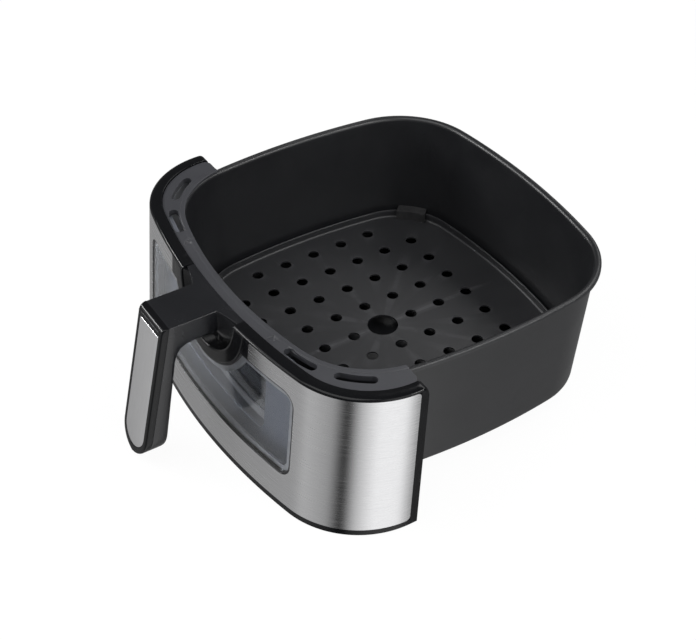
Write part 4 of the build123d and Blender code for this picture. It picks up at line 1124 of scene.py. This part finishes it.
def handle_section(half_width, length, power, edge):
    """Closed loop of (x, h): h is 0 along the flat side and `length` at the far side. The flat side's two
    corners are quarter circles of radius `edge`; the far side is the curve |x/a|^n + |h/b|^n = 1."""
    edge = min(edge, half_width, length / 2)
    turn = np.linspace(0.0, pi / 2, 5)
    flat = np.linspace(-half_width + edge, half_width - edge, 8)[1:-1]
    left = np.stack([-half_width + edge - edge * np.cos(turn), edge - edge * np.sin(turn)], axis=1)
    right = np.stack([half_width - edge + edge * np.sin(turn), edge - edge * np.cos(turn)], axis=1)
    sweep = np.linspace(0.0, pi, 57)[1:-1]
    bow = np.stack([half_width * np.sign(np.cos(sweep)) * np.abs(np.cos(sweep)) ** (2.0 / power),
                    edge + (length - edge) * np.abs(np.sin(sweep)) ** (2.0 / power)], axis=1)
    return np.concatenate([left, np.stack([flat, np.zeros(len(flat))], axis=1), right, bow])


def carry(outer, inner, half_widths, powers, edge):
    """Handle sections carried along a path: at each station the section stands on the line from the outer
    point to the inner one, both given as (y, z)."""
    rows = []
    for out, into, half_width, power in zip(outer, inner, half_widths, powers):
        length = max(hypot(*(into - out)), HAIR)
        section = handle_section(max(half_width, HAIR / 5), length, power, edge)
        along = out[None] + section[:, 1:] / length * (into - out)[None]
        rows.append(np.concatenate([section[:, :1], along], axis=1))
    return np.array(rows)


def make_handle_body():
    """Root, arm and grip in one skin. The root is a half disc that narrows into the arm on a slight
    hollow; the arm turns down into the grip round the elbow's fillet; the grip ends in a half-round tip."""
    flare = np.linspace(0.0, 1.0, 10)
    flare_y = ROOT_BACK - ROOT_LENGTH - ROOT_TAPER * flare
    bow = (1.0 - flare) ** 1.2
    flare_width = ARM_HALF_WIDTH + (ROOT_RADIUS - ARM_HALF_WIDTH) * bow
    flare_height = ARM_HEIGHT + (ROOT_RADIUS - ARM_HEIGHT) * bow
    flare_power = 2.0 + 6.0 * flare ** 2
    lean = atan(REAR_LEAN)
    corner_y = rear_y(UNDERSIDE)
    reach = ELBOW_RADIUS / np.tan((pi / 2 + lean) / 2)
    arc_centre = np.array((corner_y + reach, UNDERSIDE - ELBOW_RADIUS))
    turn = np.linspace(pi / 2, pi - lean, 17)
    arc = arc_centre + ELBOW_RADIUS * np.stack([np.cos(turn), np.sin(turn)], axis=1)
    seam_top = np.array((front_y(HANDLE_TOP, FASCIA_THICKNESS), HANDLE_TOP))
    over = np.stack([np.linspace(arc[0][0], seam_top[0], 9), np.full(9, HANDLE_TOP)], axis=1)
    down_level = np.linspace(HANDLE_TOP, arc[-1][1], 9)[1:]
    down = np.stack([front_y(down_level, FASCIA_THICKNESS), down_level], axis=1)
    level = np.concatenate([np.linspace(arc[-1][1], TIP_CENTRE, 12)[1:-1],
                            tip_levels(TIP_CENTRE, ARM_HALF_WIDTH, 16)])
    grip_outer = np.stack([front_y(level, FASCIA_THICKNESS), level], axis=1)
    grip_inner = np.stack([rear_y(level), level], axis=1)
    root_y = np.concatenate([[ROOT_BACK], flare_y])
    root_height = np.concatenate([[ROOT_RADIUS], flare_height])
    arm_y = np.linspace(flare_y[-1], arc[0][0], 7)[1:-1]
    outer = np.concatenate([np.stack([root_y, np.full(len(root_y), HANDLE_TOP)], axis=1),
                            np.stack([arm_y, np.full(len(arm_y), HANDLE_TOP)], axis=1), over, down,
                            grip_outer])
    inner = np.concatenate([np.stack([root_y, HANDLE_TOP - root_height], axis=1),
                            np.stack([arm_y, np.full(len(arm_y), UNDERSIDE)], axis=1), arc, grip_inner])
    widths = np.concatenate([[ROOT_RADIUS], flare_width, np.full(len(arm_y) + len(arc), ARM_HALF_WIDTH),
                             tip_width(level, TIP_CENTRE, ARM_HALF_WIDTH)])
    powers = np.concatenate([[2.0], flare_power, np.full(len(arm_y) + len(arc) + len(level), 8.0)])
    body = tube(carry(outer, inner, widths, powers, 0.7))

    across = np.linspace(-ROOT_RADIUS, ROOT_RADIUS, 40)
    back_y = panel_points(run_at(across), np.full(40, RIM), -BEAD_WIDTH - COVER_GAP / 2)[:, 1]
    levels = (RIM + ROOT_GAP, HANDLE_TOP)
    lower, upper = (np.stack([np.stack([across, back_y, np.full(40, z)], axis=1),
                              np.stack([across, np.full(40, ROOT_BACK - HAIR), np.full(40, z)], axis=1)])
                    for z in levels)
    tongue = shell(upper, lower, quads(2, 40)[:, ::-1])
    points, faces = join([body, tongue])
    made = new_object("handle_skin", points, faces)
    place(made, "drawer", "handle_body", satin_black, angle=38.0)


def make_grip_fascia():
    """Front shell of the grip. Its front rolls over at the top; its section is flat at the seam, rounded at
    the front edges, and steps down in the middle where the insert lies."""
    seam_top = np.array((front_y(HANDLE_TOP, FASCIA_THICKNESS), HANDLE_TOP))
    front_angle = atan(FRONT_LEAN)
    reach = FASCIA_ROLL * np.tan((pi / 2 - front_angle) / 2)
    roll_centre = np.array((front_y(HANDLE_TOP) + reach + ROLL_SET_BACK, HANDLE_TOP - FASCIA_ROLL))
    turn = np.linspace(pi / 2, pi - front_angle, 12)
    roll = roll_centre + FASCIA_ROLL * np.stack([np.cos(turn), np.sin(turn)], axis=1)
    pocket_top = INSERT_TOP + INSERT_GAP
    pocket_radius = INSERT_HALF_WIDTH + INSERT_GAP
    level = np.unique(np.concatenate([np.linspace(roll[-1][1] - 0.2, pocket_top + HAIR, 3),
                                      np.linspace(pocket_top, TIP_CENTRE, 14),
                                      tip_levels(INSERT_CENTRE, pocket_radius, 14),
                                      tip_levels(TIP_CENTRE, ARM_HALF_WIDTH, 18)]))[::-1]
    front = np.concatenate([[seam_top], roll, np.stack([front_y(level), level], axis=1)])
    seam_level = np.concatenate([[HANDLE_TOP], np.linspace(HANDLE_TOP - 0.3, level[0] + 0.4, len(roll)),
                                 level])
    back = np.stack([front_y(seam_level, FASCIA_THICKNESS), seam_level], axis=1)
    rows = []
    turn = np.linspace(0.0, pi / 2, 6)
    for near, far in zip(back, front):
        length = max(hypot(*(far - near)), HAIR)
        half = max(float(tip_width(far[1], TIP_CENTRE, ARM_HALF_WIDTH)), HAIR / 5)
        edge = min(FASCIA_EDGE, half, length / 2)
        in_pocket = INSERT_CENTRE - pocket_radius <= far[1] <= pocket_top
        floor = length - (INSERT_THICKNESS + HAIR if in_pocket else 0.0)
        pocket = 0.5 * half
        if in_pocket:
            pocket = min(float(tip_width(far[1], INSERT_CENTRE, pocket_radius)), half - edge)
        right_x = np.concatenate([[half], half - edge + edge * np.cos(turn),
                                  [(pocket + half - edge) / 2, pocket, pocket]])
        right_h = np.concatenate([[0.0], length - edge + edge * np.sin(turn), [length, length, floor]])
        x = np.concatenate([right_x, [0.0], -right_x[::-1]])
        h = np.concatenate([right_h, [floor], right_h[::-1]])
        along = near[None] + h[:, None] / length * (far - near)[None]
        rows.append(np.concatenate([x[:, None], along], axis=1))
    points, faces = tube(np.array(rows))
    made = new_object("grip_shell", points, [face[::-1] for face in faces])
    place(made, "drawer", "grip_fascia", gloss_black, angle=38.0)


def make_grip_insert():
    """Satin metal inlay: loops of its outline, a straight top and sides with a half-round tip, from its back
    round a small rounded edge to its flat front."""
    insets = INSERT_EDGE * np.array((0.0, 0.0, 0.16, 0.5, 1.0))
    behind = round_off(insets, INSERT_EDGE)
    behind[0] = INSERT_THICKNESS
    turn = np.linspace(0.0, pi / 2, 6)
    tip = np.linspace(0.0, pi, 42)
    rows = []
    for inset, low in zip(insets, behind):
        half = INSERT_HALF_WIDTH - inset
        top = INSERT_TOP - inset
        side = np.linspace(top - INSERT_CORNER, INSERT_CENTRE, 26)[1:-1]
        x = np.concatenate([half - INSERT_CORNER + INSERT_CORNER * np.cos(turn),
                            -half + INSERT_CORNER - INSERT_CORNER * np.sin(turn),
                            np.full(24, -half), -half * np.cos(tip), np.full(24, half)])
        z = np.concatenate([top - INSERT_CORNER + INSERT_CORNER * np.sin(turn),
                            top - INSERT_CORNER + INSERT_CORNER * np.cos(turn),
                            side, INSERT_CENTRE - half * np.sin(tip), side[::-1]])
        rows.append(np.stack([x, front_y(z, low), z], axis=1))
    points, faces = tube(np.array(rows))
    path = points[:, [2, 0]]
    made = new_object("grip_inlay", points, faces, path)
    lay_path(made)
    place(made, "drawer", "grip_insert", brushed_insert)


make_handle_body()
make_grip_fascia()
make_grip_insert()


# ---- crisper plate -----------------------------------------------------------------------------------
def make_crisper_plate():
    """Sheet with a raised rim: the pan's outline, drawn in level by level, carried up from the flat floor
    round a bend to the rim's rounded edge. Holes stand on a square pitch, and a finger hole in the middle."""
    grow = float(-inset_at(PLATE_LEVEL)) - PLATE_GAP
    turn = np.linspace(0.0, pi / 2, 8)

    def face(shift):
        """The plate's upper face for shift 0, its lower face for shift 1."""
        wall = grow - PLATE_THICKNESS * (1.0 - shift)
        floor = PLATE_LEVEL + PLATE_THICKNESS * (1.0 - shift)
        bend = PLATE_BEND - PLATE_THICKNESS + PLATE_THICKNESS * shift
        grows = np.concatenate([wall - bend + bend * np.sin(turn),
                                [wall, wall, wall + 0.25 * (1 - 2 * shift)]])
        levels = np.concatenate([floor + bend - bend * np.cos(turn),
                                 [plate_high[2] - 2.5, plate_high[2] - 0.4, plate_high[2]]])
        wall_rows = pan_grid(grows, levels)
        spokes = np.linspace(0.0, 1.0, 5)[:-1, None, None]
        flat = wall_rows[:1] * np.concatenate([spokes, spokes, np.ones_like(spokes)], axis=2)
        return np.concatenate([flat, wall_rows])

    upper = face(0.0)
    points, faces = shell(upper, face(1.0), quads(*upper.shape[:2], wrap=True)[:, ::-1])
    made = new_object("crisper_sheet", points, faces)

    limit = rim_points + (grow - HOLE_EDGE) * rim_normals
    bearings = np.arctan2(limit[:, 1], limit[:, 0])
    order = np.argsort(bearings)
    count = int(PAN_HALF_WIDTH // HOLE_PITCH)
    step = np.arange(-count, count + 1) * HOLE_PITCH
    centres = np.stack(np.meshgrid(step, step), axis=-1).reshape(-1, 2)
    far = np.hypot(centres[:, 0], centres[:, 1])
    allowed = np.interp(np.arctan2(centres[:, 1], centres[:, 0]), bearings[order],
                        np.hypot(limit[order, 0], limit[order, 1]), period=2 * pi)
    centres = centres[far < allowed]
    radius = np.where(np.hypot(centres[:, 0], centres[:, 1]) < 1.0, FINGER_HOLE_RADIUS, HOLE_RADIUS)
    around = np.linspace(0.0, 2 * pi, 40, endpoint=False)
    circle = np.stack([np.cos(around), np.sin(around)], axis=1)
    discs = centres[:, None] + radius[:, None, None] * circle[None]
    tools = []
    for disc in discs:
        rows = [np.concatenate([disc, np.full((len(disc), 1), z)], axis=1)
                for z in (PLATE_LEVEL - 1.0, PLATE_LEVEL + PLATE_THICKNESS + 1.0)]
        tools.append(tube(np.array(rows)))
    cut(made, *join(tools))
    place(made, "crisper", "crisper_plate", plate_finish)


make_crisper_plate()


# ---- finishes of the nodes kept from the frame -------------------------------------------------------
KEPT = {
    "panel_liner": liner_grey,
    "window_retainer": plain_steel,
    "mounting_block_left": cover_grey,
    "mounting_block_right": cover_grey,
    "pan_window_gasket": seal_black,
    "pan_window_glass": clear_glass,
    "pan_window_frame": plain_steel,
    "pan_window_nuts": zinc,
    "pan_screws": zinc,
    "liner_screws": zinc,
    "handle_screws": zinc,
    "handle_core": plain_steel,
    "fascia_screw": zinc,
    "bumper_front_left": silicone,
    "bumper_front_right": silicone,
    "bumper_back_left": silicone,
    "bumper_back_right": silicone,
}
for name, finish in KEPT.items():
    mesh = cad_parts[name].data
    mesh.materials.clear()
    mesh.materials.append(finish)


# ---- floor, light and camera -------------------------------------------------------------------------
FLOOR_GAP = 0.2
FLOOR = cad_low[2] / MM - FLOOR_GAP
FLOOR_GLOW = 1.03            # what the camera sees of the paper
FLOOR_GLOW_SHARE = 0.92


def make_floor():
    """Wide flat disc under the object: rings of points about the middle."""
    around = np.linspace(0.0, 2 * pi, 48, endpoint=False)
    radius = np.array((0.0, 500.0, 2000.0, 6000.0))
    grid = np.stack([radius[:, None] * np.cos(around), radius[:, None] * np.sin(around),
                     np.full((4, 48), FLOOR)], axis=-1)
    made = new_object("floor", grid.reshape(-1, 3), quads(4, 48, wrap=True))
    finish = coated("floor_paper", (0.84, 0.84, 0.84), (0.86, 0.86, 0.86), (0.9, 0.9, 0.9), 0.7,
                    grain=800.0, bump=0.02, edge=0.0)
    tree = finish.node_tree
    glow = node(tree, "ShaderNodeEmission", {"Color": (1.0, 1.0, 1.0, 1.0), "Strength": FLOOR_GLOW})
    seen = math_node(tree, "MULTIPLY", tree.nodes.new("ShaderNodeLightPath").outputs["Is Camera Ray"],
                     FLOOR_GLOW_SHARE)
    both = node(tree, "ShaderNodeMixShader", {0: seen, 1: tree.nodes["Principled BSDF"].outputs[0],
                                              2: glow.outputs[0]})
    tree.links.new(both.outputs[0], tree.nodes["Material Output"].inputs["Surface"])
    made.data.materials.append(finish)
    made.visible_glossy = False


def softbox(name, target, azimuth, elevation, distance, size, radiance):
    """Rectangular light aimed at a target from an azimuth and an elevation, both in degrees."""
    a, e = radians(azimuth), radians(elevation)
    back = Vector((sin(a) * cos(e), -cos(a) * cos(e), sin(e)))
    light = bpy.data.lights.new(name, "AREA")
    light.shape = "RECTANGLE"
    light.size, light.size_y = size
    light.energy = radiance * pi * size[0] * size[1]
    made = bpy.data.objects.new(name, light)
    made.location = Vector(target) + back * distance
    made.rotation_mode = "QUATERNION"
    made.rotation_quaternion = back.to_track_quat("Z", "Y")
    bpy.context.scene.collection.objects.link(made)
    return made


# Studio round the drawer as level and downward reflections meet it: bearing in degrees, 0 straight out of
# the front and 90 to the right, and brightness. Each sheet of paper fades into the next.
SURROUNDINGS = (
    (-180, 0.32), (-80, 0.32),                   # dim paper behind and on the left
    (-30, 0.44), (-18, 0.60), (30, 0.42),        # paper out in front, a little brighter left of the middle
    (50, 0.01), (57, 0.01),                      # gap between the sheets, off the front's right corner
    (75, 0.65), (105, 1.25), (140, 1.25),        # bright paper on the right
    (155, 0.38), (180, 0.32),                    # and round to the dim paper again
)


def make_world(seen, diffuse, overhead):
    """Studio surroundings: one brightness where the camera sees them and one for diffuse light. Reflections
    meet the paper's brightness at their own bearing, and a dark ceiling higher up."""
    world = bpy.data.worlds.new("studio")
    world.use_nodes = True
    tree = world.node_tree
    away = node(tree, "ShaderNodeSeparateXYZ",
                {0: tree.nodes.new("ShaderNodeTexCoord").outputs["Generated"]})
    front = math_node(tree, "MULTIPLY", away.outputs[1], -1.0)
    bearing_of = math_node(tree, "ARCTAN2", away.outputs[0], front)
    share = remap(tree, bearing_of, -pi, pi, 0.0, 1.0)
    ramp_node = tree.nodes.new("ShaderNodeValToRGB")
    tree.links.new(share, ramp_node.inputs[0])
    stops = ramp_node.color_ramp.elements
    for number, (angle, level) in enumerate(SURROUNDINGS):
        at = (angle + 180) / 360
        stop = stops[number] if number < 2 else stops.new(at)
        stop.position = at
        stop.color = (level, level, level, 1.0)
    paper = node(tree, "ShaderNodeBackground", {"Color": ramp_node.outputs[0]})
    ceiling = node(tree, "ShaderNodeBackground", {"Color": (overhead, overhead, overhead, 1.0)})
    rise = remap(tree, away.outputs[2], -0.05, 0.3, 0.0, 1.0)
    mirrored_world = node(tree, "ShaderNodeMixShader",
                          {0: rise, 1: paper.outputs[0], 2: ceiling.outputs[0]})
    soft = node(tree, "ShaderNodeBackground", {"Color": (diffuse, diffuse, diffuse, 1.0)})
    shown = node(tree, "ShaderNodeBackground", {"Color": (seen, seen, seen, 1.0)})
    ray = tree.nodes.new("ShaderNodeLightPath")
    lit = node(tree, "ShaderNodeMixShader", {0: ray.outputs["Is Glossy Ray"], 1: soft.outputs[0],
                                             2: mirrored_world.outputs[0]})
    whole = node(tree, "ShaderNodeMixShader", {0: ray.outputs["Is Camera Ray"], 1: lit.outputs[0],
                                               2: shown.outputs[0]})
    tree.links.new(whole.outputs[0], tree.nodes["World Output"].inputs["Surface"])
    bpy.context.scene.world = world


def make_camera(azimuth, elevation, place_at, lens):
    """Camera at a point, in millimetres, looking along an azimuth and an elevation, in degrees."""
    a, e = radians(azimuth), radians(elevation)
    back = Vector((sin(a) * cos(e), -cos(a) * cos(e), sin(e)))
    right = Vector((cos(a), sin(a), 0.0))
    up = back.cross(right)
    turn = Matrix((right, up, back)).transposed().to_4x4()
    data = bpy.data.cameras.new("camera")
    data.lens = lens
    made = bpy.data.objects.new("camera", data)
    made.matrix_world = Matrix.Translation(Vector(place_at) * MM) @ turn
    bpy.context.scene.collection.objects.link(made)
    bpy.context.scene.camera = made


make_floor()
middle = (cad_low + cad_high) / 2
softbox("key", middle, 10.0, 66.0, 1.3, (1.1, 0.8), 2.3)
softbox("right_panel", middle, 98.0, 30.0, 1.1, (0.8, 0.9), 1.5)
softbox("left_panel", middle, -34.0, 28.0, 1.2, (0.6, 1.0), 1.6)
softbox("back_panel", middle, 190.0, 44.0, 1.3, (1.4, 0.5), 2.4)
softbox("edge_strip_right", middle, 123.0, 40.0, 1.2, (0.5, 0.1), 22.0)
softbox("edge_strip_front", middle, -46.0, 24.0, 1.2, (0.7, 0.08), 30.0)
make_world(1.0, 0.10, 0.10)
make_camera(58.24, 40.24, (668.6, -442.95, 698.0), 76.7)
bpy.context.scene.view_settings.view_transform = "Standard"
